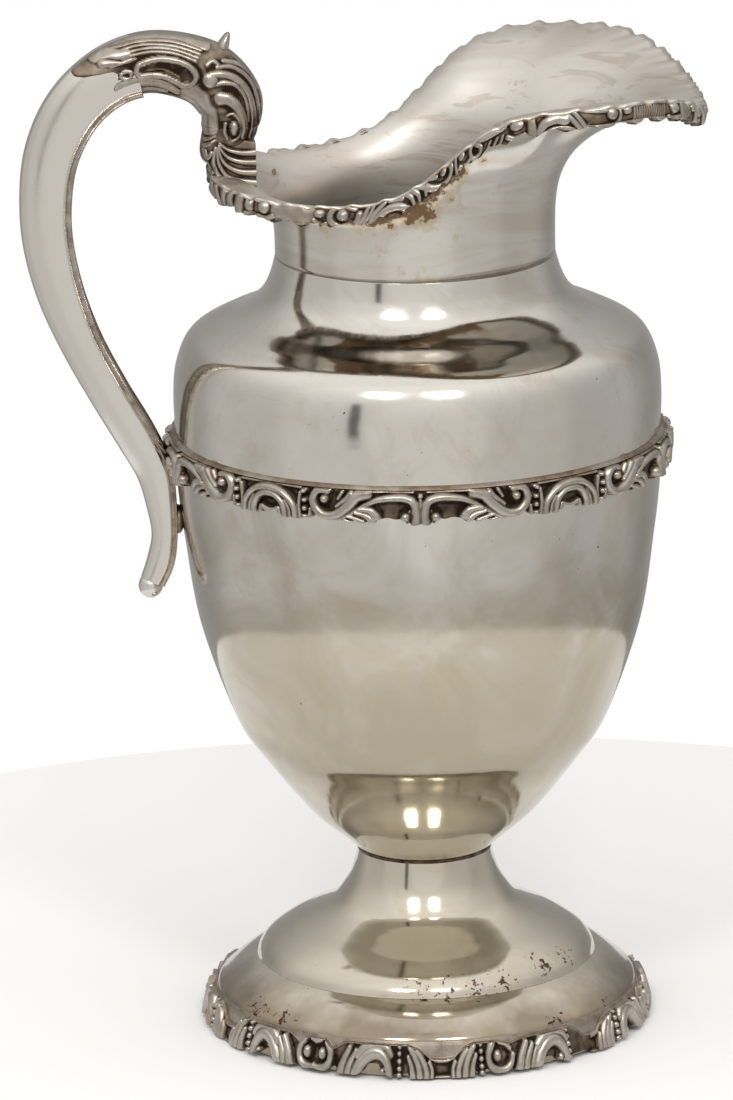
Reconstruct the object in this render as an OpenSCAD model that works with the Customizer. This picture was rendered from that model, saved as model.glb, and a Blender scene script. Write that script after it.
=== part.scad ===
// Footed silver water pitcher, soldered up from spun shells, cast borders and a hollow handle.
// Millimetres, +Z up, origin in the middle of the flat resting face. The spout points along +X
// and the handle along -X, so the pitcher is its own mirror image across the XZ plane.

/* [Body] */
// Outer radius of the body at the waist band
body_r = 73.8; // [72.8:0.2:75]
// Thickness of the silver sheet in the shells
wall = 1.2; // [1:0.1:1.4]
// Height of the narrow joint between the body and the foot
joint_z = 54.5; // [53:0.5:56]
// Height of the seam between the bowl and the shoulder, hidden under the waist band
waist_z = 181; // [178:0.5:184]
// Height of the seam between the neck and the spout
neck_z = 241; // [240:0.5:242]
// Outer radius of the neck at that seam
neck_r = 42.4; // [41.5:0.1:43]

/* [Spout and lip] */
// How far the lip reaches behind the axis, toward the handle
lip_back = 60.5; // [59:0.5:62]
// How far the spout reaches in front of the axis
lip_front = 85.5; // [82:0.5:88]
// Half width of the lip over the neck
lip_half_back = 47.5; // [46:0.5:50]
// Half width of the lip across the spout
lip_half_front = 74; // [70:0.5:76]
// Height of the lip beside the neck
lip_low_z = 264.5; // [263:0.5:266]
// Height of the crest of the spout
lip_high_z = 297; // [295:0.5:300]
// How far the tip of the spout droops below the crest
tip_droop = 10; // [7:0.5:12]

/* [Cast borders] */
// How far the waist band stands out from the body
band_out = 3.4; // [2.8:0.1:3.6]
// Number of castings in the waist band
band_parts = 5; // [5:1:5]
// Number of castings in the foot border
foot_parts = 6; // [6:1:6]
// Outer radius of the foot border
foot_r = 69.8; // [69:0.1:70.2]
// Height of the strip soldered round the lip
lip_strip_h = 5.6; // [5:0.1:6.2]
// How far that strip stands out from the edge of the lip
lip_strip_out = 2.6; // [2:0.1:3]

/* [Handle] */
// Width of the hollow handle from side to side at its top
handle_w = 17; // [15:0.5:18]
// Width of the handle from side to side at its tail
tail_w = 8; // [7:0.5:9]
// Thickness of the flat strip that closes the handle on its inner side
strip_t = 1.8; // [1.6:0.1:2]
// Thickness of the sheet of the handle
handle_wall = 1.3; // [1.2:0.1:1.5]

/* [Hidden] */
$fn = 96;
silver = [0.80, 0.78, 0.74];
cast_silver = [0.62, 0.58, 0.52];
band_low = 175.8;
band_top = 186;
joint_r = 20.6;
stem_low_z = 37.4;
stem_low_r = 28.4;
skirt_z = 20.6;
skirt_r = 52.2;
seat_r = 65;
seat_z = 9;
border_gap = 0.5;
ball_at = 66.8;
wire_h = 3;
wire_in = 60.5;
wire_out = 63.4;
lip_columns = 96;
lip_rows = 12;
scallops = 34;
scallop = 0.7;
lip_cuts = [1, 24, 48, 72, 95];
scroll_x = -55.3;
scroll_z = 282.6;
scroll_r = 8.5;
scroll_w = 14;
bracket_w = 12;
pad_x = 75;
notch_w = 11.4;
handle_steps = 6;
handle_arc = 14;

// One point of a smooth curve through p1 and p2, at the share u of the way between them.
function spline(p0, p1, p2, p3, u) =
    p1 + (p2 - p0) * (u / 2)
    + (2 * p0 - 5 * p1 + 4 * p2 - p3) * (u * u / 2)
    + (3 * p1 - p0 - 3 * p2 + p3) * (u * u * u / 2);

// A smooth curve through the points, with n steps between each two.
function curve(points, n) = let (last = len(points) - 1) [
    for (i = [0:last - 1], k = [0:n - 1])
        spline(points[max(i - 1, 0)], points[i], points[i + 1], points[min(i + 2, last)], k / n),
    points[last]
];

function tanh(v) = let (e = exp(2 * v)) (e - 1) / (e + 1);

// The inner side of a wall: a line of [radius, height] points moved in, level at both ends.
function inside(line, t) = [
    for (i = [0:len(line) - 1])
        let (
            a = line[max(i - 1, 0)],
            b = line[min(i + 1, len(line) - 1)],
            d = b - a,
            n = [-d[1], d[0]] / norm(d),
            level = i == 0 || i == len(line) - 1
        )
        level ? [line[i][0] - t, line[i][1]] : line[i] + n * t
];
function reversed(line) = [for (i = [len(line) - 1:-1:0]) line[i]];
function thick(line, t) = concat(line, reversed(inside(line, t)));

bowl_line = concat(
    curve([
        [joint_r, joint_z], [25, 58.6], [35.6, 68], [49.8, 86], [57.3, 98],
        [67.3, 127], [71.6, 154], [73.2, 167], [body_r, band_low]
    ], 5),
    [[body_r, waist_z]]
);
shoulder_line = concat(
    [[body_r, waist_z]],
    curve([
        [body_r, band_top + 1.5], [body_r + 0.3, 198], [body_r - 0.6, 207.5], [69.5, 216],
        [62, 220.6], [53.5, 224.2], [47.4, 229], [44.3, 234.5], [neck_r, neck_z]
    ], 5)
);
stem_line = curve([
    [stem_low_r, stem_low_z], [25.6, 40.9], [23.3, 44.8], [21.7, 49.2], [joint_r, joint_z - 0.8]
], 4);
dome_line = curve([
    [skirt_r, skirt_z], [50.9, 23.2], [48.2, 26], [42.8, 29.5], [37, 32.3], [32.2, 34.8],
    [stem_low_r, stem_low_z]
], 4);
skirt_line = concat(
    curve([[65.8, seat_z], [64.8, 11.8], [62.6, 13.6]], 4),
    curve([[61.8, 13.8], [58.2, 17], [54.8, 19.3], [skirt_r - 0.6, skirt_z]], 4)
);

// Seamless spun lower half of the body, closed at the bottom.
module bowl() color(silver)
    rotate_extrude()
        polygon(concat(
            [[0, joint_z]], bowl_line,
            [for (i = [len(bowl_line) - 1:-1:3]) inside(bowl_line, wall)[i]],
            [[0, joint_z + 2 * wall]]
        ));

// Spun shoulder and neck, soldered to the bowl under the waist band.
module shoulder() color(silver)
    rotate_extrude() polygon(thick(shoulder_line, wall));

// Plan of the edge of the lip: t runs from 0 at the handle to 180 at the tip of the spout.
function lip_x(t) = (lip_front - lip_back) / 2 - (lip_front + lip_back) / 2 * cos(t);
function lip_half(x) =
    (lip_half_front + lip_half_back) / 2
    + (lip_half_front - lip_half_back) / 2 * tanh((x - 20) / 30);
function lip_y(t) = -lip_half(lip_x(t)) * sign(sin(t)) * pow(abs(sin(t)), 0.7);
// Height of the edge: low beside the neck, up to a crest over the spout, down at the tip.
function lip_z(t) = let (
        x = lip_x(t),
        back = max(0, -30 - x) / 33,
        tip = max(0, x - 60) / (lip_front - 60)
    )
    (lip_low_z + lip_high_z) / 2 + (lip_high_z - lip_low_z) / 2 * tanh((x - 7) / 17)
    + 3.4 * back * back - tip_droop * pow(tip, 2.6) + scallop * cos(scallops * t);
function lip_reach(t) = norm([lip_x(t), lip_y(t)]) + scallop * cos(scallops * t);
function lip_turn(t) = atan2(lip_y(t), lip_x(t));
function lip_t(i) = 360 * i / lip_columns;
// A point of the flared wall, from the neck at s = 0 to the edge at s = 1.
function lip_wall(t, s, r0, z1) = let (
        a = 90 * s,
        out = 1 - pow(cos(a), 1.14),
        r = r0 + (lip_reach(t) - r0) * out,
        z = neck_z + (z1 - neck_z) * sqrt(sin(a))
    )
    [r * cos(lip_turn(t)), r * sin(lip_turn(t)), z];

// Hammered spout and lip, one flared sheet standing on the neck.
module spout() color(silver) {
    n = lip_columns;
    m = lip_rows + 1;
    outer = [
        for (j = [0:lip_rows], i = [0:n - 1])
            lip_wall(lip_t(i), pow(j / lip_rows, 1.6), neck_r, lip_z(lip_t(i)) - wall - 0.5)
    ];
    inner = [
        for (j = [0:lip_rows], i = [0:n - 1])
            lip_wall(lip_t(i), pow(j / lip_rows, 1.6), neck_r - wall, lip_z(lip_t(i)) - 0.5)
    ];
    polyhedron(
        points = concat(outer, inner),
        faces = concat(
            [for (j = [0:lip_rows - 1], i = [0:n - 1], k = [0, 1])
                let (a = j * n + i, b = j * n + (i + 1) % n)
                k == 0 ? [a, b, b + n] : [a, b + n, a + n]],
            [for (j = [0:lip_rows - 1], i = [0:n - 1], k = [0, 1])
                let (a = (m + j) * n + i, b = (m + j) * n + (i + 1) % n)
                k == 0 ? [a, b + n, b] : [a, a + n, b + n]],
            [for (i = [0:n - 1], k = [0, 1])
                let (a = i, b = (i + 1) % n, c = m * n)
                k == 0 ? [a, a + c, b + c] : [a, b + c, b]],
            [for (i = [0:n - 1], k = [0, 1])
                let (a = lip_rows * n + i, b = lip_rows * n + (i + 1) % n, c = m * n)
                k == 0 ? [a, b, b + c] : [a, b + c, a + c]]
        )
    );
}

// Cast strip round the edge of the lip, between two columns. Its section bulges outward.
module lip_border(first, last) color(cast_silver) {
    section = [[0, 0.3], [0.9, 0.8], [2, 0], [lip_strip_out, -1.6], [2.3, -3.4],
        [1.3, 0.6 - lip_strip_h], [0, 0.9 - lip_strip_h]];
    n = len(section);
    points = [
        for (i = [first:last], p = section)
            let (t = lip_t(i), r = lip_reach(t) + p[0])
            [r * cos(lip_turn(t)), r * sin(lip_turn(t)), lip_z(t) + p[1]]
    ];
    rings = last - first;
    polyhedron(
        points = points,
        faces = concat(
            [for (j = [0:rings - 1], i = [0:n - 1], k = [0, 1])
                let (a = j * n + i, b = j * n + (i + 1) % n)
                k == 0 ? [a, b, b + n] : [a, b + n, a + n]],
            [for (i = [1:n - 2]) [0, i + 1, i]],
            [for (i = [1:n - 2]) [rings * n, rings * n + i, rings * n + i + 1]]
        )
    );
}

// Solder ring that joins the bottom of the bowl to the top of the stem.
module joint_ring() color(silver)
    translate([0, 0, joint_z - 0.8])
        difference() {
            cylinder(h = 0.8, r = joint_r - 0.2);
            translate([0, 0, -1]) cylinder(h = 3, r = joint_r - 2);
        }

// Spun trumpet stem.
module stem() color(silver)
    rotate_extrude() polygon(thick(stem_line, wall));

// Spun dome of the foot.
module dome() color(silver)
    rotate_extrude()
        polygon(thick(dome_line, wall));

// Stepped skirt of the foot, with a crease above its rolled edge.
module skirt() color(silver)
    rotate_extrude() polygon(thick(skirt_line, wall));

// Flat wire under the edge of the foot. The pitcher rests on it.
module base_wire() color(silver)
    rotate_extrude()
        polygon([
            [wire_in, 0], [wire_out, 0], [wire_out, wire_h], [seat_r, seat_z],
            [seat_r - 1.2, seat_z], [wire_in, wire_h]
        ]);

// Plain narrow wire soldered along the top of the waist band.
module band_wire() color(silver)
    translate([0, 0, band_top])
        rotate_extrude()
            polygon([[body_r, 0], [body_r + 1.7, 0], [body_r + 1.3, 0.9], [body_r, 1.5]]);

// Arch of a scroll, lying on the band: a bent round bar.
module scroll_arch(radius, thickness)
    rotate_extrude(angle = 180, $fn = 24)
        translate([radius, 0]) circle(r = thickness, $fn = 12);

// One casting of the waist band, a fifth of the way round, filed away where the handle passes.
module band(i) color(cast_silver)
    difference() {
        rotate([0, 0, 360 / band_parts * i - 90 - 180 / band_parts])
            union() {
                rotate_extrude(angle = 360 / band_parts)
                    polygon([
                        [body_r, band_low], [body_r + 1.2, band_low],
                        [body_r + 1.8, band_low + 1.4], [body_r + 1.8, band_top - 1.6],
                        [body_r + 1.5, band_top], [body_r, band_top]
                    ]);
                for (turn = [9, 27.5, 44.5, 63])
                    rotate([0, 0, turn])
                        translate([body_r + 1.4, 0, band_low + 3.2])
                            rotate([90, 0, 90])
                                scroll_arch(3.6, 1.1);
                for (turn = [3, 34, 38, 69])
                    rotate([0, 0, turn])
                        translate([body_r + 1.2, 0, band_low + 3])
                            sphere(r = band_out - 1.2, $fn = 24);
                for (turn = [15, 57])
                    rotate([0, 0, turn])
                        translate([body_r + 1, 0, band_low + 1.9])
                            cylinder(h = 6.4, r = 1.5, $fn = 24);
            }
        rotate([90, 0, 0])
            linear_extrude(height = notch_w, center = true)
                polygon([
                    [-body_r - 0.1, band_low - 4], [-body_r - 0.4, band_low], [-78.2, band_top],
                    [-90, band_top + 4], [-90, band_low - 4]
                ]);
    }

// One casting of the foot border, a sixth of the way round.
module foot_border(i) color(cast_silver)
    rotate([0, 0, 360 / foot_parts * i - 90])
        union() {
            rotate_extrude(angle = 360 / foot_parts)
                polygon([
                    [wire_out, border_gap], [68, border_gap], [68.2, 2.6], [66.8, 6.6],
                    [65.9, seat_z], [seat_r, seat_z], [wire_out, wire_h]
                ]);
            for (turn = [8, 19, 41, 52])
                rotate([0, 0, turn])
                    translate([67, 0, 3.4])
                        rotate([90, 0, 90])
                            scroll_arch(3.4, 1.3);
            for (turn = [3, 30, 57])
                rotate([0, 0, turn])
                    translate([ball_at, 0, 4.1])
                        sphere(r = foot_r - ball_at, $fn = 24);
        }

// Handle: centre line [x, z] and depth in its own plane, from the volute to the tail.
handle_path = curve([
    [-55.3, 282.6, 17], [-55.2, 289.5, 19.8], [-61, 297, 20.2], [-70, 300.8, 19.4],
    [-80, 301.9, 18.6], [-90, 299, 17.8], [-99, 292.4, 17.2], [-105.6, 283.4, 16.8],
    [-109.9, 272, 16.2], [-111.4, 258, 15.6], [-110.5, 245, 15.2], [-107.2, 230.6, 14.2],
    [-101.3, 215.3, 12.9], [-93.5, 200, 12.4], [-85.6, 186, 12.3], [-80.6, 175.6, 11.2],
    [-78.6, 165, 9.3], [-77.9, 155.5, 7.8], [-79.2, 147.5, 8.2], [-81.8, 141, 7.4]
], handle_steps);
cap_end = 5.5 * handle_steps;
handle_last = len(handle_path) - 1;

function side_width(i) = handle_w + (tail_w - handle_w) * pow(i / handle_last, 1.3);
function path_normal(i) = let (
        a = handle_path[max(i - 1, 0)],
        b = handle_path[min(i + 1, handle_last)],
        d = [b[0] - a[0], b[1] - a[1]]
    )
    i == 0 ? [1, 0] : [d[1], -d[0]] / norm(d);
// A point of the section at station i: n away from the loop of the handle, y to the side.
function at(i, n, y) = let (v = path_normal(i))
    [handle_path[i][0] + v[0] * n, -y, handle_path[i][1] + v[1] * n];

// Skin over rings of n points each, the first and last closed by flat fans of quads.
module skin(points, n) {
    rings = len(points) / n;
    half = n / 2;
    polyhedron(
        points = points,
        faces = concat(
            [for (j = [0:rings - 2], i = [0:n - 1], k = [0, 1])
                let (a = j * n + i, b = j * n + (i + 1) % n)
                k == 0 ? [a, b + n, b] : [a, a + n, b + n]],
            [for (i = [0:half - 2], k = [0, 1])
                let (a = i, b = i + 1, c = n - 2 - i, d = n - 1 - i)
                k == 0 ? [a, b, c] : [a, c, d]],
            [for (i = [0:half - 2], k = [0, 1])
                let (o = (rings - 1) * n, a = o + i, b = o + i + 1, c = o + n - 2 - i, d = o + n - 1 - i)
                k == 0 ? [a, c, b] : [a, d, c]]
        )
    );
}

// Hollow outer sheet of the handle, bent round to meet the flat strip.
module handle_shell() color(silver)
    skin([
        for (i = [cap_end:handle_last])
            let (
                depth = handle_path[i][2],
                width = side_width(i),
                low = -depth / 2 + strip_t,
                rise = depth - strip_t
            )
            for (k = [0:2 * handle_arc + 1])
                let (
                    outer = k <= handle_arc,
                    a = 180 * (outer ? k : 2 * handle_arc + 1 - k) / handle_arc,
                    t = outer ? 0 : handle_wall
                )
                at(i, low + (rise - t) * pow(sin(a), 0.75) * (a > 0 && a < 180 ? 1 : 0),
                    (width / 2 - t) * sign(cos(a)) * pow(abs(cos(a)), 0.75))
    ], 2 * handle_arc + 2);

// Flat strip that closes the hollow handle on its inner side.
module handle_strip() color(silver)
    skin([
        for (i = [cap_end:handle_last])
            let (depth = handle_path[i][2], width = side_width(i))
            for (p = [[-1, 0], [-0.86, -1], [0.86, -1], [1, 0]])
                at(i, -depth / 2 + strip_t + p[1] * strip_t, p[0] * width / 2)
    ], 4);

// Solid cast leaf over the top of the handle, from the hollow part to the volute.
module handle_cap() color(cast_silver)
    skin([
        for (i = [0:cap_end])
            let (
                depth = handle_path[i][2] * (1 + 0.02 * (i % 2)),
                width = side_width(i) * (1 + 0.06 * sin(180 * i / cap_end))
            )
            for (k = [0:2 * handle_arc - 1])
                let (a = 180 * (k + 0.5) / handle_arc)
                at(i, depth / 2 * cos(a), width / 2 * sin(a))
    ], 2 * handle_arc);

// Scroll at the head of the handle: the lower half of a drum, against the end of the cap.
module volute_drum(extra)
    translate([scroll_x, 0, scroll_z])
        rotate([90, 0, 0])
            cylinder(h = scroll_w + extra, r = scroll_r, center = true);
module volute() color(cast_silver)
    difference() {
        volute_drum(0);
        translate([scroll_x - 20, -20, scroll_z]) cube([40, 40, 20]);
    }

// Round button over the eye of the scroll.
module volute_button(side) color(cast_silver)
    translate([scroll_x, side * scroll_w / 2, scroll_z - 3])
        rotate([-90 * side, 0, 0])
            cylinder(h = 1.6, r1 = 2.6, r2 = 1.6, $fn = 48);

// Pointed thumb leaf standing on the cast head.
module spur() color(cast_silver)
    translate([-60.6, 0, 304.6])
        rotate([0, 26, 0])
            cylinder(h = 6.4, r1 = 3.2, r2 = 0.8, $fn = 32);

// Fluted bracket between the scroll and the back of the lip.
module bracket() color(cast_silver)
    difference() {
        union() {
            rotate([90, 0, 0])
                linear_extrude(height = bracket_w, center = true)
                    polygon([
                        [-63.6, 268.6], [-59, 266], [-48.4, 263.6], [-48.4, 278], [-63.6, 280]
                    ]);
            for (turn = [-2:2])
                translate([-48.8, turn * 2.4, 263.8])
                    cylinder(h = 12, r = 1.1, $fn = 24);
        }
        volute_drum(4);
    }

// Pad that joins the lower end of the handle to the side of the bowl.
module handle_pad() color(silver)
    difference() {
        translate([-pad_x, 0, 160])
            rotate([0, 90, 0])
                cylinder(h = 6, r = 4, center = false, $fn = 64);
        rotate_extrude($fn = 360) polygon(concat([[0, joint_z]], bowl_line, [[0, waist_z]]));
    }

// Rounded end that closes the tail of the handle.
module tail_cap() color(silver)
    translate([-82.8, 0, 139])
        sphere(r = 3.9, $fn = 48);

bowl();
shoulder();
spout();
joint_ring();
stem();
dome();
skirt();
base_wire();
band_wire();
band(0);  // band_1
band(1);  // band_2
band(2);  // band_3
band(3);  // band_4
band(4);  // band_5
foot_border(0);  // foot_border_1
foot_border(1);  // foot_border_2
foot_border(2);  // foot_border_3
foot_border(3);  // foot_border_4
foot_border(4);  // foot_border_5
foot_border(5);  // foot_border_6
lip_border(lip_cuts[0], lip_cuts[1]);  // lip_border_1
lip_border(lip_cuts[1], lip_cuts[2]);  // lip_border_2
lip_border(lip_cuts[2], lip_cuts[3]);  // lip_border_3
lip_border(lip_cuts[3], lip_cuts[4]);  // lip_border_4
handle_shell();
handle_strip();
handle_cap();
volute();
volute_button(-1);  // volute_button_1
volute_button(1);  // volute_button_2
spur();
bracket();
handle_pad();
tail_cap();
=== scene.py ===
import math

import bpy
import numpy as np
from mathutils import Matrix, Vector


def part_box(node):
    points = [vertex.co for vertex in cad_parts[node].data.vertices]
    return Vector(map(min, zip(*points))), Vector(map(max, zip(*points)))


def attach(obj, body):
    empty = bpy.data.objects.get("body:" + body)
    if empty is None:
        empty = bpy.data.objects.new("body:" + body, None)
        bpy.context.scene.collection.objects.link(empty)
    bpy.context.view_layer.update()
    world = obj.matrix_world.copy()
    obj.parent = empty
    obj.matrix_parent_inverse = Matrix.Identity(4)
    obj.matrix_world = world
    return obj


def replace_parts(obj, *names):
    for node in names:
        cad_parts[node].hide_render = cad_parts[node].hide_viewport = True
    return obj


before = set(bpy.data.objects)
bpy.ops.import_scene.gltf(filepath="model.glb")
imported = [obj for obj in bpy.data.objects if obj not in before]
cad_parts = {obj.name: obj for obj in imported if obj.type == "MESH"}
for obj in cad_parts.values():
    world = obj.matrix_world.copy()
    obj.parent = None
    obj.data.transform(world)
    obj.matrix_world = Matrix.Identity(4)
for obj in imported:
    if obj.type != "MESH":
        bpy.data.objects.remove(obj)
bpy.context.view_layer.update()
MM = 0.001

# ---------------------------------------------------------------- sizes, in millimetres
BODY_R, WALL = 73.8, 1.2
JOINT_R, JOINT_Z = 20.6, 54.5
BAND_LOW, BAND_TOP, WAIST_Z = 175.8, 186.0, 181.0
NECK_R, NECK_Z = 42.4, 241.0
STEM_LOW_R, STEM_LOW_Z = 28.4, 37.4
SKIRT_R, SKIRT_Z, SEAT_Z = 52.2, 20.6, 9.0
LIP_BACK, LIP_FRONT, LIP_HALF_BACK, LIP_HALF_FRONT = 60.5, 85.5, 47.5, 74.0
LIP_LOW, LIP_HIGH, TIP_DROOP = 264.5, 297.0, 10.0
SEGMENTS = 360


# ---------------------------------------------------------------- mesh tools
def mesh_object(name, verts, faces, material):
    """A smooth mesh piece from points in millimetres and an array of quads."""
    verts = np.ascontiguousarray(verts, float).reshape(-1, 3) * MM
    faces = np.ascontiguousarray(faces, np.int32)
    me = bpy.data.meshes.new(name)
    me.vertices.add(len(verts))
    me.vertices.foreach_set("co", verts.ravel().astype(np.float32))
    me.loops.add(faces.size)
    me.loops.foreach_set("vertex_index", faces.ravel())
    me.polygons.add(len(faces))
    me.polygons.foreach_set("loop_start", np.arange(0, faces.size, faces.shape[1], dtype=np.int32))
    me.update(calc_edges=True)
    me.validate()
    me.shade_smooth()
    me.materials.append(material)
    ob = bpy.data.objects.new(name, me)
    bpy.context.scene.collection.objects.link(ob)
    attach(ob, "root")
    return ob


def grid_faces(rows, cols, wrap_cols=False, wrap_rows=False):
    """Quads between the points of a grid, which may close on itself either way."""
    r = np.arange(rows if wrap_rows else rows - 1)
    c = np.arange(cols if wrap_cols else cols - 1)
    r, c = np.meshgrid(r, c, indexing="ij")
    r1, c1 = (r + 1) % rows, (c + 1) % cols
    return np.stack([r * cols + c, r * cols + c1, r1 * cols + c1, r1 * cols + c], -1).reshape(-1, 4)


def end_caps(rows, ring):
    """Quads that close both ends of a tube, each from one side of the ring to the other."""
    caps = []
    for start in (0, (rows - 1) * ring):
        k = np.arange(ring // 2 - 1)
        q = start + np.stack([k, k + 1, ring - 2 - k, ring - 1 - k], 1)
        caps.append(q[:, ::-1] if start else q)
    return caps


def set_colour(ob, name, values):
    """A point attribute, one number a point."""
    at = ob.data.attributes.new(name, "FLOAT", "POINT")
    at.data.foreach_set("value", np.ascontiguousarray(values, np.float32).ravel())


def spline(points, n):
    """A smooth curve through the points, n steps between each two."""
    p = np.asarray(points, float)
    last = len(p) - 1
    out = []
    for i in range(last):
        p0, p1, p2, p3 = p[max(i - 1, 0)], p[i], p[i + 1], p[min(i + 2, last)]
        u = np.arange(n)[:, None] / n
        out.append(p1 + (p2 - p0) * (u / 2) + (2 * p0 - 5 * p1 + 4 * p2 - p3) * (u * u / 2)
                   + (3 * p1 - p0 - 3 * p2 + p3) * (u ** 3 / 2))
    return np.vstack(out + [p[-1:]])


def normals(line):
    """Unit normals of a line, to its left."""
    d = np.gradient(line, axis=0)
    return np.stack([-d[:, 1], d[:, 0]], 1) / np.linalg.norm(d, axis=1)[:, None]


def inset(line, t):
    """The inner side of a wall, level at both ends."""
    out = line + normals(line) * t
    for i in (0, -1):
        out[i] = line[i] - [t, 0]
    return out


def lathe(name, line, material):
    """A turned piece from a closed line of [radius, height]."""
    line = np.asarray(line, float)
    a = np.arange(SEGMENTS) * 2 * math.pi / SEGMENTS
    v = np.stack([line[:, None, 0] * np.cos(a), line[:, None, 0] * np.sin(a),
                  np.repeat(line[:, 1][:, None], SEGMENTS, 1)], -1)
    f = grid_faces(len(line), SEGMENTS, wrap_cols=True, wrap_rows=True)
    ob = mesh_object(name, v, f, material)
    ob.data.set_sharp_from_angle(angle=math.radians(50))
    return ob


def soften(line, radius=0.25, steps=3):
    """Rounds each sharp corner of a closed line by a small arc, so that smooth shading holds."""
    line = np.asarray(line, float)
    out = []
    for i in range(len(line)):
        a, b, c = line[i - 1], line[i], line[(i + 1) % len(line)]
        u, v = a - b, c - b
        lu, lv = np.linalg.norm(u), np.linalg.norm(v)
        turn = math.degrees(math.acos(max(-1, min(1, np.dot(u, v) / (lu * lv)))))
        if turn > 150:
            out.append(b)
            continue
        r = min(radius, lu * 0.4, lv * 0.4)
        p, q = b + u / lu * r, b + v / lv * r
        for k in range(steps + 1):
            t = k / steps
            out.append((1 - t) ** 2 * p + 2 * t * (1 - t) * b + t * t * q)
    return np.array(out)


# ---------------------------------------------------------------- materials
class Tree:
    """Shorthand for the nodes of one material or of the world."""

    def __init__(self, owner):
        owner.use_nodes = True
        self.nodes, self.links = owner.node_tree.nodes, owner.node_tree.links

    def put(self, socket, value):
        if isinstance(value, bpy.types.NodeSocket):
            self.links.new(value, socket)
        else:
            socket.default_value = (*value, 1.0) if isinstance(value, tuple) else value

    def calc(self, op, a, b=None):
        n = self.nodes.new("ShaderNodeMath")
        n.operation = op
        self.put(n.inputs[0], a)
        if b is not None:
            self.put(n.inputs[1], b)
        return n.outputs[0]

    def add(self, a, b):
        return self.calc("ADD", a, b)

    def times(self, a, b):
        return self.calc("MULTIPLY", a, b)

    def ramp(self, v, a, b, lo=0.0, hi=1.0, kind="LINEAR"):
        """From lo at a to hi at b."""
        r = self.nodes.new("ShaderNodeMapRange")
        r.interpolation_type = kind
        for key, value in (("Value", v), ("From Min", a), ("From Max", b), ("To Min", lo), ("To Max", hi)):
            self.put(r.inputs[key], value)
        return r.outputs["Result"]

    def noise(self, at, scale, detail=4.0, rough=0.55, bend=0.0):
        n = self.nodes.new("ShaderNodeTexNoise")
        for key, value in (("Vector", at), ("Scale", scale), ("Detail", detail), ("Roughness", rough),
                           ("Distortion", bend)):
            self.put(n.inputs[key], value)
        return n.outputs["Fac"]

    def mix(self, share, a, b):
        n = self.nodes.new("ShaderNodeMix")
        n.data_type = "RGBA"
        for k, value in ((0, share), (6, a), (7, b)):
            self.put(n.inputs[k], value)
        return n.outputs[2]

    def attribute(self, name):
        n = self.nodes.new("ShaderNodeAttribute")
        n.attribute_name = name
        return n.outputs["Fac"]


def tarnish_and_painted_shade_layer(t, at, colour, rough):
    """Yellow-brown that deepens down the bowl, partly tarnish and partly painted shade for the dim reflection
    below it; warm silver on the foot, brown by its border.
    """
    z = t.nodes.new("ShaderNodeSeparateXYZ")
    t.put(z.inputs[0], at)
    # painted shade: the two yellow-browns below darken the lower bowl towards the bottom, partly as tarnish,
    # partly in place of a dim reflection from below
    height = t.add(z.outputs[2], t.ramp(t.noise(at, 26, 4, 0.6, 0.8), 0.3, 0.7, -0.035, 0.035))
    colour = t.mix(t.ramp(height, 0.185, 0.125, 0.0, 0.85), colour, (0.45, 0.405, 0.32))
    colour = t.mix(t.ramp(height, 0.13, 0.09, 0.0, 0.6), colour, (0.37, 0.325, 0.24))
    near = t.add(z.outputs[2], t.ramp(t.noise(at, 60, 3, 0.6), 0.3, 0.7, -0.003, 0.003))
    colour = t.mix(t.ramp(near, 0.090, 0.079, 0.0, 0.85), colour, (0.62, 0.575, 0.485))
    colour = t.mix(t.ramp(near, 0.0200, 0.0125, 0.0, 0.9), colour, (0.28, 0.225, 0.165))
    cloud = t.ramp(t.noise(at, 34, 6, 0.65, 1.5), 0.52, 0.66, 0.0, 0.3)
    return t.mix(cloud, colour, (0.46, 0.37, 0.25)), rough


def speck_layer(t, at, colour, rough):
    """Dark red-brown speckles that cluster round a few places on the foot."""
    nearest = None
    for x, y, z, r in FOOT_SPECKS:
        d = t.nodes.new("ShaderNodeVectorMath")
        d.operation = "DISTANCE"
        t.put(d.inputs[0], at)
        d.inputs[1].default_value = (x * MM, y * MM, z * MM)
        one = t.ramp(d.outputs["Value"], r * MM, 0.0)
        nearest = one if nearest is None else t.calc("MAXIMUM", nearest, one)
    dots = t.add(t.noise(at, 520, 3, 0.7), t.times(nearest, 0.24))
    dots = t.ramp(dots, 0.722, 0.752, 0.0, 0.92)
    return t.mix(dots, colour, (0.075, 0.022, 0.014)), t.add(rough, t.times(dots, 0.4))


def streak_layer(t, at, colour, rough):
    """Wavy tarnish on the spout, darker threads inside it, and the brown stain under its near edge."""
    stretch = t.nodes.new("ShaderNodeMapping")
    stretch.inputs["Scale"].default_value = (0.7, 0.7, 3.2)
    stretch.inputs["Rotation"].default_value = (0.0, 0.45, 0.0)
    t.put(stretch.inputs["Vector"], at)
    along = stretch.outputs["Vector"]
    veil = t.ramp(t.noise(along, 16, 5, 0.55, 2.2), 0.44, 0.62, 0.0, 0.75)
    colour = t.mix(veil, colour, (0.56, 0.50, 0.435))
    inside, mark = t.attribute("inside"), t.attribute("stain")
    threads = t.ramp(t.noise(along, 45, 4, 0.6, 2.4), 0.55, 0.62, 0.0, 0.5)
    colour = t.mix(t.times(threads, inside), colour, (0.38, 0.31, 0.24))
    mark = t.add(mark, t.ramp(t.noise(at, 150, 4, 0.65), 0.3, 0.7, -0.45, 0.45))
    colour = t.mix(t.ramp(mark, 0.30, 0.55, 0.0, 0.55), colour, (0.50, 0.38, 0.20))
    colour = t.mix(t.ramp(mark, 0.62, 0.72, 0.0, 0.9), colour, (0.17, 0.095, 0.045))
    rough = t.add(rough, t.ramp(mark, 0.5, 0.8, 0.0, 0.3))
    colour = t.mix(t.times(inside, 0.25), colour, (0.58, 0.535, 0.495))
    return colour, t.add(rough, t.times(inside, 0.30))


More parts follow.
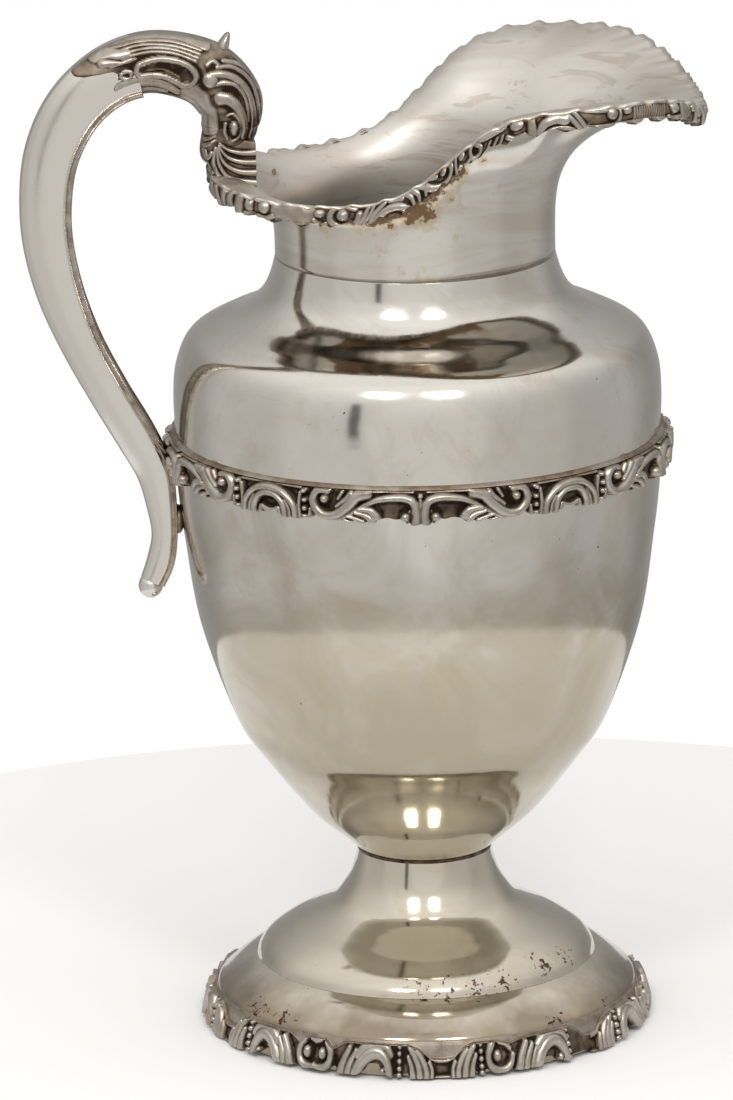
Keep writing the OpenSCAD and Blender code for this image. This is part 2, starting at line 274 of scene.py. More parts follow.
def recess_layer(t, at, colour, rough):
    """Brown tarnish on the ground and in the creases of the relief, black where it is deepest."""
    deep = t.add(t.attribute("recess"), t.ramp(t.noise(at, 240, 3, 0.6), 0.3, 0.7, -0.16, 0.16))
    browns = t.mix(t.ramp(t.noise(at, 300, 2), 0.35, 0.65), (0.19, 0.14, 0.10), (0.29, 0.23, 0.175))
    colour = t.mix(t.ramp(deep, 0.0, 0.42), colour, browns)
    colour = t.mix(t.ramp(deep, 0.55, 1.0), colour, (0.030, 0.018, 0.012))
    return colour, t.add(rough, t.ramp(deep, 0.2, 0.9, 0.0, 0.28))


def silver(name, base, rough, tarnish=(0.55, 0.46, 0.33), amount=0.5, scale=18.0, bump=0.03, layers=()):
    """Old silver: clouds of tarnish on a polished metal, then the layers given, on slightly uneven sheet."""
    material = bpy.data.materials.new(name)
    t = Tree(material)
    surface = t.nodes["Principled BSDF"]
    surface.inputs["Metallic"].default_value = 1.0
    at = t.nodes.new("ShaderNodeTexCoord").outputs["Object"]
    cloud = t.ramp(t.noise(at, scale, 5, 0.6, 0.6), 0.42, 0.72)
    fine = t.ramp(t.noise(at, scale * 9, 3, 0.6), 0.45, 0.75)
    stain = t.times(cloud, t.ramp(fine, 0, 1, 0.5, 1.0))
    colour = t.mix(t.times(stain, amount), base, tarnish)
    rough = t.ramp(t.add(stain, t.times(fine, 0.3)), 0, 1.3, rough, rough + 0.12)
    for layer in layers:
        colour, rough = layer(t, at, colour, rough)
    t.put(surface.inputs["Base Color"], colour)
    t.put(surface.inputs["Roughness"], rough)
    uneven = t.nodes.new("ShaderNodeBump")
    uneven.inputs["Strength"].default_value = bump
    uneven.inputs["Distance"].default_value = 0.001
    t.put(uneven.inputs["Height"], t.noise(at, 40, 2, 0.5))
    t.put(surface.inputs["Normal"], uneven.outputs["Normal"])
    return material


# where the speckles gather: x, y, z and reach, in millimetres
FOOT_SPECKS = [(-6, -50, 22, 8), (3, -50, 22.5, 9), (12, -48.5, 23, 9), (20, -46, 23.5, 7), (33, -37, 25, 8),
               (41, -29, 25, 8), (-55, -33, 13, 9), (-47, -43, 12.5, 8), (36, -53, 13, 7), (52, -38, 13, 6)]
POLISHED = silver("polished_silver", (0.655, 0.635, 0.59), 0.09, bump=0.16,
                  layers=(tarnish_and_painted_shade_layer, speck_layer))
HANDLED = silver("handle_silver", (0.66, 0.635, 0.59), 0.19, amount=0.3, scale=14)
LIPMAT = silver("lip_silver", (0.66, 0.635, 0.585), 0.13, amount=0.4, scale=22, bump=0.12,
                layers=(streak_layer,))
EDGED = silver("strip_silver", (0.60, 0.57, 0.51), 0.16, layers=(recess_layer,))
CAST = silver("cast_silver", (0.44, 0.41, 0.365), 0.30, tarnish=(0.21, 0.155, 0.105), amount=0.95, scale=75,
              layers=(recess_layer,))
DULL = silver("inner_silver", (0.62, 0.58, 0.52), 0.4, amount=0.8, scale=40)

# ---------------------------------------------------------------- turned pieces
bowl_line = np.vstack([spline([[JOINT_R, JOINT_Z], [25, 58.6], [35.6, 68], [49.8, 86], [57.3, 98],
                               [67.3, 127], [71.6, 154], [73.2, 167], [BODY_R, BAND_LOW]], 14),
                       [[BODY_R, WAIST_Z]]])
bowl_in = inset(bowl_line, WALL)[::-1][:-8]
bowl = np.vstack([[[0.3, JOINT_Z]], bowl_line, bowl_in, [[0.3, JOINT_Z + 2 * WALL]]])
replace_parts(lathe("bowl_shell", soften(bowl), POLISHED), "bowl")

shoulder_line = np.vstack([[[BODY_R, WAIST_Z]],
                           spline([[BODY_R, BAND_TOP + 1.5], [BODY_R + 0.3, 198], [BODY_R - 0.6, 207.5],
                                   [69.5, 216], [62, 220.6], [53.5, 224.2], [47.4, 229],
                                   [44.3, 234.5], [NECK_R, NECK_Z]], 14)])
shoulder = soften(np.vstack([shoulder_line, inset(shoulder_line, WALL)[::-1]]), 0.07)
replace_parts(lathe("shoulder_shell", shoulder, POLISHED), "shoulder")

# one line up the whole foot, from the edge of the skirt over the dome to the joint
FOOT_STEPS = 12
skirt_line = spline([[66.4, 1.2], [66.3, 4.2], [65.6, 7.2], [65.2, SEAT_Z + 0.6], [64.2, 11.9], [62.2, 13.7],
                     [58.6, 16.8], [55.2, 19.1], [SKIRT_R - 0.25, SKIRT_Z]], FOOT_STEPS)
dome_points = [[SKIRT_R, SKIRT_Z], [50.9, 23.2], [48.2, 26], [42.8, 29.5], [37, 32.3], [32.2, 34.8]]
stem_points = [[STEM_LOW_R, STEM_LOW_Z], [25.6, 40.9], [23.3, 44.8], [21.7, 49.2], [JOINT_R, JOINT_Z - 0.8]]
foot_line = np.vstack([skirt_line[:-1], spline(dome_points + stem_points, FOOT_STEPS)])
DOME_FROM = len(skirt_line) - 1
STEM_FROM = DOME_FROM + FOOT_STEPS * len(dome_points)


def foot_sheet(name, i0, i1):
    """One sheet of the foot: the part of its line from i0 to i1, with its inner side."""
    inner, n = inset(foot_line, WALL), normals(foot_line)
    for i in (0, -1):
        inner[i] = foot_line[i] + n[i] * WALL
    return lathe(name, np.vstack([foot_line[i0:i1 + 1], inner[i0:i1 + 1][::-1]]), POLISHED)


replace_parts(foot_sheet("stem_trumpet", STEM_FROM, len(foot_line) - 1), "stem")
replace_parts(foot_sheet("foot_dome", DOME_FROM, STEM_FROM), "dome")
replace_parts(foot_sheet("foot_skirt", 0, DOME_FROM), "skirt")

wire_line = [[0, 0], [1.5, 0], [1.0, 0.5], [0, 1.1]]
wire = lathe("band_flange", soften(np.array(wire_line) + [BODY_R, BAND_TOP], 0.15), CAST)
set_colour(wire, "recess", 0.35 + 0.2 * np.cos(np.arange(len(wire.data.vertices)) % SEGMENTS * math.pi / 15))
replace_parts(wire, "band_wire")


# ---------------------------------------------------------------- spout and lip
# t goes round the lip: 0 at the handle, a half turn at the tip
def lip_x(t):
    return (LIP_FRONT - LIP_BACK) / 2 - (LIP_FRONT + LIP_BACK) / 2 * np.cos(t)


def lip_half(x):
    """Half the width of the lip, x along the pitcher."""
    wide, narrow = LIP_HALF_FRONT, LIP_HALF_BACK
    return (wide + narrow) / 2 + (wide - narrow) / 2 * np.tanh((x - 20) / 30)


def lip_y(t):
    return -lip_half(lip_x(t)) * np.sign(np.sin(t)) * np.abs(np.sin(t)) ** 0.7


def lip_z(t):
    x = lip_x(t)
    back = np.maximum(0, -30 - x) / 33
    tip = np.maximum(0, x - 60) / (LIP_FRONT - 60)
    return ((LIP_LOW + LIP_HIGH) / 2 + (LIP_HIGH - LIP_LOW) / 2 * np.tanh((x - 7) / 17)
            + 3.4 * back ** 2 - TIP_DROOP * tip ** 2.6)


def lip_reach(t):
    return np.hypot(lip_x(t), lip_y(t))


def lip_wall(t, s, r0, z1):
    """A point of the spout wall, s from 0 at the neck (radius r0) to 1 at the edge (height z1)."""
    a = s * math.pi / 2
    out = 1 - np.cos(a) ** 1.14
    r = r0 + (lip_reach(t) - r0) * out
    th = np.arctan2(lip_y(t), lip_x(t))
    z = NECK_Z + (z1 - NECK_Z) * np.sqrt(np.sin(a))
    return np.stack([r * np.cos(th), r * np.sin(th), z], -1)


def rim_track(n=4001):
    """The way along the edge of the lip, from the handle round the tip and back, at n values of t."""
    t = np.linspace(0, 2 * math.pi, n)
    x, y, z = lip_x(t), lip_y(t), lip_z(t)
    s = np.concatenate([[0], np.cumsum(np.sqrt(np.diff(x) ** 2 + np.diff(y) ** 2 + np.diff(z) ** 2))])
    return t, s


rim_t, rim_s = rim_track()
HALF_RIM = rim_s[-1] / 2


def wave_of(s):
    """Uneven scallops along the lip: slow swells with a small nick between them."""
    return (0.42 * np.cos(s * 0.66 + 0.4) + 0.28 * np.cos(s * 1.23 + 1.0)
            - 0.7 * np.clip(np.cos(s * 0.66 + 3.4) - 0.62, 0, 1) + 0.2)


def spout_piece():
    """The spout: an outer and an inner wall, dented a little, with a scalloped edge."""
    cols, rows = 480, 40
    t = np.arange(cols) * 2 * math.pi / cols
    s = (np.arange(rows + 1) / rows) ** 1.6
    T, S = np.meshgrid(t, s)
    wave = 0.85 * wave_of(np.interp(T, rim_t, np.minimum(rim_s, rim_s[-1] - rim_s)))
    outer = lip_wall(T, S, NECK_R, lip_z(T) - 0.1 - WALL * 0.5 * (1 - S ** 9) - WALL * 0.5)
    inner = lip_wall(T, S, NECK_R - WALL, lip_z(T) + 0.45)
    # slow dents of hand-raised sheet, and scallops in the last millimetres
    dent = (0.35 * np.sin(3 * T + 5 * S) + 0.22 * np.sin(7 * T - 4 * S + 1)) * np.sin(math.pi * S)
    for side in (outer, inner):
        side[..., 2] += wave * S ** 14
        way_out = side[..., :2] / np.linalg.norm(side[..., :2], axis=-1, keepdims=True)
        side[..., :2] += way_out * ((1.0 + 0.7 * wave) * S ** 14 + dent)[..., None]
    n = (rows + 1) * cols
    wall = grid_faces(rows + 1, cols, wrap_cols=True)
    i = np.arange(cols)
    j = (i + 1) % cols
    top_i, top_j = rows * cols + i, rows * cols + j
    base = np.stack([i, i + n, j + n, j], 1)
    edge = np.stack([top_i, top_j, top_j + n, top_i + n], 1)
    faces = np.vstack([wall, wall[:, ::-1] + n, base, edge])
    ob = mesh_object("spout_shell", np.stack([outer, inner]), faces, LIPMAT)
    # brown stain under the near edge, widest where the edge climbs to the spout
    below = lip_z(T) - outer[..., 2]
    x, near = outer[..., 0], T < math.pi
    spread = 3.0 + 9.0 * np.exp(-((x - 6) / 17) ** 2)
    stain = np.where(near & (x > -38) & (x < 48), np.exp(-np.maximum(below - 5, 0) / spread) * 1.12, 0)
    # three brown spots on the far wall, seen inside over the low edge
    spots = np.zeros_like(stain)
    for x0, z0, r0 in ((-44, 273.5, 1.6), (-33, 268, 1.3), (-41, 262, 1.0)):
        gap = np.hypot(inner[..., 0] - x0, inner[..., 2] - z0)
        spots = np.maximum(spots, np.where(inner[..., 1] > 0, np.clip(1.4 - gap / r0, 0, 1), 0))
    set_colour(ob, "stain", np.stack([stain, spots]))
    set_colour(ob, "inside", np.stack([stain * 0, stain * 0 + 1]))
    return ob


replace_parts(spout_piece(), "spout")

# ---------------------------------------------------------------- cast relief
# A relief is a list of marks on a flat drawing, in millimetres: beads along a line, and oval knobs.
def bead(points, width, height):
    """A round-topped bead along a smooth line. A pair of sizes goes from its start to its end."""
    return "bead", points, width, height


def knob(centre, radius, height):
    return "knob", centre, radius, height


def redrawn(marks, change):
    """The same marks with every x put through a function."""
    return [(kind, [(change(x), y) for x, y in at] if kind == "bead" else (change(at[0]), at[1]), *sizes)
            for kind, at, *sizes in marks]


def mirrored(marks, line):
    return redrawn(marks, lambda x: 2 * line - x)


def shifted(marks, by):
    return redrawn(marks, lambda x: x + by)


def pair(size):
    return size if isinstance(size, tuple) else (size, size)


def bead_height(P, points, width, height):
    line = spline(points, 6)
    (w0, w1), (h0, h1) = pair(width), pair(height)
    top = max(w0, w1)
    near = np.all((P > line.min(0) - top) & (P < line.max(0) + top), -1)
    out = np.zeros(P.shape[:-1])
    Q = P[near]
    best = np.zeros(len(Q))
    count = len(line) - 1
    for i in range(count):
        a, b = line[i], line[i + 1]
        ab = b - a
        t = np.clip(((Q - a) @ ab) / max(ab @ ab, 1e-9), 0, 1)
        d = np.linalg.norm(Q - a - t[:, None] * ab, axis=1)
        u = (i + t) / count
        w, h = w0 + (w1 - w0) * u, h0 + (h1 - h0) * u
        best = np.maximum(best, h * np.sqrt(np.clip(1 - (d / w) ** 2, 0, 1)))
    out[near] = best
    return out


def knob_height(P, centre, radius, height):
    q = np.sum(((P - centre) / pair(radius)) ** 2, -1)
    return height * np.clip(1 - q, 0, 1) ** 0.5


def paint(P, marks, fat=1.0):
    """Height of the relief at the points P. fat widens every bead."""
    H = np.zeros(P.shape[:-1])
    for kind, at, size, height in marks:
        if kind == "bead":
            new = bead_height(P, at, tuple(w * fat for w in pair(size)), height)
        else:
            new = knob_height(P, at, size, height)
        H = np.maximum(H, new)
    return H


def blur(H, n, axis):
    """Mean over 2n + 1 neighbours."""
    pad = [(0, 0), (0, 0)]
    pad[axis] = (n + 1, n)
    c = np.cumsum(np.pad(H, pad, mode="edge"), axis=axis)
    k = 2 * n + 1
    ahead, behind = np.arange(k, c.shape[axis]), np.arange(0, c.shape[axis] - k)
    return (np.take(c, ahead, axis) - np.take(c, behind, axis)) / k


def tarnish_of(H, top, n, ground):
    """How much brown tarnish sits at each point: on the ground of the relief and in its creases."""
    wide = H
    for _ in range(2):
        wide = blur(blur(wide, n[0], 0), n[1], 1)
    low = ground * (1 - np.clip(H / (0.8 * top), 0, 1))
    crease = np.clip((wide - H) / (0.30 * top), -0.25, 1)
    return np.clip(low + 0.85 * crease, 0, 1)


def bare_below(H, V, most):
    """How far the bare ground reaches up from the lower edge: the casting is pierced away there."""
    full = H > 0.45
    first = np.where(full.any(0), V[np.argmax(full, 0), np.arange(V.shape[1])] - V[0], most)
    return blur(np.minimum(first, most)[None], 3, 1)[0]


def rows_between(low, top, rows):
    """Heights of a casting's rows, from its lower outline to its upper, and their shares of the way."""
    v = np.linspace(0, 1, rows)[:, None]
    return low + (top - low) * v, v


def drawing(along, V, across=1.0):
    """Points of the drawing under each point of a casting."""
    return np.stack([np.broadcast_to(along, V.shape), V / across], -1)


def on_circle(r, a, z):
    return np.stack([r * np.cos(a), r * np.sin(a), z], -1)


def strip(name, front, back, rec, behind=0.8):
    """A closed casting from a grid of front points and the matching back points."""
    rows, cols = front.shape[:2]
    f = grid_faces(2 * rows, cols, wrap_rows=True)
    lo = np.arange(rows - 1)
    caps = []
    for c in (0, cols - 1):
        ring = [lo, lo + 1, 2 * rows - 2 - lo, 2 * rows - 1 - lo]
        q = np.stack([r * cols + c for r in ring], 1)
        caps.append(q if c else q[:, ::-1])
    ob = mesh_object(name, np.concatenate([front, back[::-1]]), np.vstack([f, *caps]), CAST)
    set_colour(ob, "recess", np.concatenate([rec, np.ones_like(rec) * behind]))
    return ob


# ---------------------------------------------------------------- waist band
# The pattern is drawn over a tenth of the way round (along, up) and mirrored.
BAND_R = BODY_R + 1.2
HALF = BAND_R * math.pi / 5
BAND_TURN = math.radians(-93.7)
BAND_FAT = 1.62
band_marks = [
    bead([(1.3, -0.2), (1.2, 3.6), (2.1, 6.8), (4.9, 8.1), (8.9, 8.1), (12.4, 7.5), (15.5, 6.2),
           (18.5, 4.4), (21.5, 2.4), (24.8, 0.9)], (1.15, 0.5), (2, 1.2)),
    knob((4.4, 2.5), 1.75, 2.1), bead([(4, 0.2), (2.9, 2), (3.2, 4.1)], 0.35, 0.8),
    bead([(13.2, 2.5), (14.7, 4.2), (18, 4.6)], (1.15, 0.7), 1.7),
    bead([(14.2, 1.2), (16.2, 2.7), (19.2, 3.5)], (0.95, 0.5), 1.6),
    bead([(17, 0.7), (19.2, 1.7), (21.8, 2.3)], (0.8, 0.4), 1.5),
    bead([(20.4, 0.4), (22.8, 1)], (0.6, 0.4), 1.2),
    bead([(15.9, 9.3), (18.9, 8.1), (21.2, 5.5), (23.8, 3.3), (26.5, 2.1), (29.3, 2.4), (31.4, 4.1),
           (32.3, 6.5), (31.5, 8.6), (29.8, 9.6), (27.6, 9.4)], (1.35, 0.75), (1.9, 1.5)),
    knob((28.5, 7.2), 1.6, 2.1),
    bead([(20.4, 9), (22.3, 7.2), (24.9, 5.1)], (0.75, 0.5), 1.4),
    bead([(23.2, 9.3), (24.4, 7.4)], 0.5, 1.1),
    knob((35.2, 8.9), (1.2, 0.9), 1.7), knob((34.8, 6.3), (1.2, 1), 1.8),
    knob((34.9, 3.7), (1.1, 1.1), 1.7),
    knob((35, 1.3), (1.3, 0.9), 1.5), bead([(33.6, 1), (33.2, 3.6)], 0.45, 1.2),
    bead([(36.6, 0.6), (36.9, 4.4), (36.4, 8.2)], 0.5, 1.2),
    bead([(38, 0.5), (38.4, 3.6), (40.3, 6.2), (42.8, 7.9), (45.4, 8.6), (47.2, 8.7)], (0.75, 0.9), 1.8),
    bead([(39.8, 0.6), (40.2, 3), (41.6, 5.2)], 0.6, 1.4),
    bead([(41.5, 0.7), (41.7, 2.8), (42.9, 5.2), (45, 6.7), (47.2, 7)], (0.75, 0.85), 1.8),
    bead([(43.6, 1), (44, 2.5), (45.4, 2), (47.2, 1.6)], 0.6, 1.1),
    knob((0, 8.6), (1.1, 0.9), 1.6), bead([(0, 5.2), (0, 7.8)], 0.45, 1.3),
    bead([(2.2, 9.9), (8, 10), (14.5, 9.9)], 0.4, 0.8),
    bead([(36.5, 9.8), (42, 10), (47.2, 10)], 0.4, 0.8),
]


def band_casting(i):
    cols, rows = 840, 56
    s = np.linspace(0, 2 * HALF, cols) + 2 * HALF * i - HALF
    along = np.abs((s + HALF) % (2 * HALF) - HALF)
    top = BAND_TOP - BAND_LOW
    low = 0.1 - 0.25 * np.cos(s / HALF * math.pi * 2) + 0.18 * np.cos(s * 1.3)
    V, v = rows_between(low, top, rows)
    low = low + bare_below(paint(drawing(along, V), band_marks, BAND_FAT), V, 1.3)
    V, v = rows_between(low, top, rows)
    H = paint(drawing(along, V), band_marks, BAND_FAT)
    rec = tarnish_of(H, 1.8, (4, 5), 0.85)
    edge = np.minimum(1, np.minimum(v, 1 - v) * (rows - 1) / 1.5)
    a = BAND_TURN + s / BAND_R
    front = on_circle(BODY_R + 0.25 + (1.0 + 1.45 * H) * edge, a, BAND_LOW + V)
    back = on_circle(BODY_R + 0 * V, a, BAND_LOW + V)
    return strip("band_casting_%d" % (i + 1), front, back, rec)


for i in range(5):
    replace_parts(band_casting(i), "band_%d" % (i + 1))

# ---------------------------------------------------------------- foot border
# Two kinds of stretch, p (68 degrees, mirrored about its middle) and q (44 degrees), drawn (along, up).
FOOT_R = 68.5
DEG = FOOT_R * math.pi / 180
P_ANG, Q_ANG = 68.0, 44.0
TALLER, BORDER_TOP, FOOT_FAT, FOOT_TURN = 1.3, 11.2, 1.75, -90.3
beads = [knob((0, 7.4), (0.9, 0.75), 1.3), knob((0, 5.9), (1, 0.8), 1.5), knob((0, 4.3), (1.1, 0.85), 1.6),
         knob((0, 2.7), (1.1, 0.8), 1.6), knob((0.1, 1.2), (1.2, 0.8), 1.5)]
cell_side = [
    bead([(3.4, 0.3), (3.2, 2.4), (3.9, 4)], (0.55, 0.45), 1.4),
    bead([(4.9, 0.6), (5, 2.6), (6.4, 5), (7.8, 6.4)], (0.75, 0.5), 1.6),
    bead([(6.9, 0.6), (7.2, 3), (8.6, 5.6), (10, 7.2)], (0.85, 0.55), 1.7),
    bead([(9, 0.7), (9.3, 3), (10.4, 5.2)], (0.8, 0.5), 1.6),
    bead([(0, 4.35), (1.8, 4.45), (3.3, 5), (5.2, 6.6), (7.4, 8.1)], 0.35, 0.9),
    bead([(0, 0.35), (3, 0.3)], 0.4, 0.7),
]
arch = [
    bead([(-6.3, 0.9), (-4.6, 3.6), (-2, 5.5), (0.9, 5.9), (3.2, 4.6), (4.3, 2.4), (4.4, 0.8)],
         (1.1, 0.8), 2),
    bead([(-5.4, 5.2), (-3, 7.1), (0.2, 7.9), (3.4, 7.2), (5, 5.6)], (0.9, 0.6), 1.7),
    knob((2.3, 1.9), (1.1, 1.1), 1.6),
]
leaf = [
    bead([(-2.6, 0.9), (-1.8, 3.4), (0.2, 6.6)], (1, 0.6), 1.8),
    bead([(-0.4, 0.8), (0.4, 3.2), (2.2, 6)], (0.95, 0.55), 1.7),
    bead([(1.8, 1), (2.6, 3.2), (3.6, 5)], (0.75, 0.5), 1.5),
]
curl = [
    bead([(-1.3, 7.2), (-2.5, 5.2), (-2.2, 2.9), (-0.2, 1.5), (2.4, 1.4), (4.4, 2.6), (5.2, 4.4)],
         (0.75, 0.6), 1.8),
    knob((0.2, 4.6), (1.6, 1.6), 2.1), bead([(1.2, 7.6), (3.2, 7), (4.6, 5.9)], 0.5, 1.2),
]
p_half = (cell_side + shifted(beads, 11.0 * DEG) + mirrored(shifted(arch, -17.3 * DEG), 0)
          + shifted(mirrored(leaf, 0), 24.3 * DEG) + shifted(curl, 31.6 * DEG))
q_all = (cell_side + shifted(beads, 9.8 * DEG + 0.4) + shifted(curl, 14.2 * DEG) + shifted(leaf, 22.4 * DEG)
         + shifted(arch, 30.6 * DEG) + shifted(beads, 35.4 * DEG) + mirrored(cell_side, Q_ANG * DEG))
# upper outline of the castings along each kind of stretch, in millimetres above the table
p_top = [(0, 4.7), (3, 4.9), (6, 7), (11, 8.4), (14, 8.2), (18, 8.7), (22, 8.3), (26, 7.6), (29, 6),
      (31.5, 7.9), (34, 8)]
q_top = [(0, 4.7), (3, 4.9), (6, 7.2), (9.8, 8.3), (13, 8.4), (18, 6.9), (21, 7.6), (27, 8.2), (31, 8.6),
      (36, 8.2), (39, 7), (41.5, 5), (44, 4.7)]
p_low = [(0, 0.35), (9, 0.5), (11, 0.3), (13, 0.7), (15.5, 2.5), (18, 3.4), (20.2, 2.4), (22, 0.9),
      (26, 0.8), (29, 1.3), (31.5, 0.8), (34, 1.3)]
q_low = [(0, 0.35), (8, 0.5), (9.8, 0.3), (11.4, 0.8), (15, 0.7), (18.5, 1.1), (22, 0.8), (26, 1),
      (29, 1.7), (32, 1.5), (34, 0.9), (35.4, 0.3), (40, 0.5), (44, 0.35)]
STRETCHES = [(0, "q"), (44, "p"), (112, "p"), (180, "q"), (224, "p"), (292, "p")]


def foot_surface(a, z, h):
    """A point of the flared border: h out from the ground, along a slope that leans outward."""
    r = np.interp(z, [0, 0.5, 2.6, 6.6, 9, 10, 11.4], [67.2, 67.4, 67.3, 66.2, 65.6, 65.25, 64.6])
    up = np.interp(z, [0, 2, 9], [0.0, 0.1, 0.35])
    return on_circle(r + h, a, z + up * h)


def foot_casting(i):
    cols, rows = 700, 60
    ang = np.linspace(0, 60, cols) + 60 * i
    along, low, top = np.zeros((3, cols))
    is_q = np.zeros(cols, bool)
    for start, kind in STRETCHES:
        length, lows, tops = (P_ANG, p_low, p_top) if kind == "p" else (Q_ANG, q_low, q_top)
        m = (ang >= start - 1e-6) & (ang <= start + length + 1e-6)
        x = ang[m] - start
        if kind == "p":
            x = np.minimum(x, length - x)
        else:
            is_q[m] = True
        low[m], top[m] = np.interp(x, *zip(*lows)), np.interp(x, *zip(*tops))
        along[m] = x * DEG
    low, top = blur(low[None], 5, 1)[0], np.minimum(blur(top[None], 7, 1)[0] * TALLER, BORDER_TOP - 1.0)

    def relief(V):
        P = drawing(along, V, TALLER)
        return np.where(is_q, paint(P, q_all, FOOT_FAT), paint(P, p_half, FOOT_FAT))

    V, v = rows_between(low, BORDER_TOP, rows)
    low = low + bare_below(relief(V), V, 1.5)
    V, v = rows_between(low, BORDER_TOP, rows)
    H = relief(V)
    rec = tarnish_of(H, 1.6, (4, 5), 0.8)
    # a thin rim follows the upper outline, with plain sheet above it
    above = np.clip((V - top) / 0.7 + 0.5, 0, 1)
    rim = np.exp(-((V - top) / 0.4) ** 2)
    H = np.maximum(H * (1 - above), 0.75 * rim)
    rec = rec * (1 - above) + above * np.clip(0.8 - (V - top) / 1.5, 0.25, 0.8)
    rec = rec * (1 - 0.6 * rim)
    edge = np.minimum(1, v * (rows - 1) / 1.5)
    a = np.radians(ang + FOOT_TURN)
    front = foot_surface(a, V, (0.1 + 1.2 * H) * edge * (1 - above) + 0.12 * above)
    back = foot_surface(a, V, -1.4 + 0 * V)
    return strip("foot_casting_%d" % (i + 1), front, back, rec)


for i in range(6):
    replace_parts(foot_casting(i), "foot_border_%d" % (i + 1))

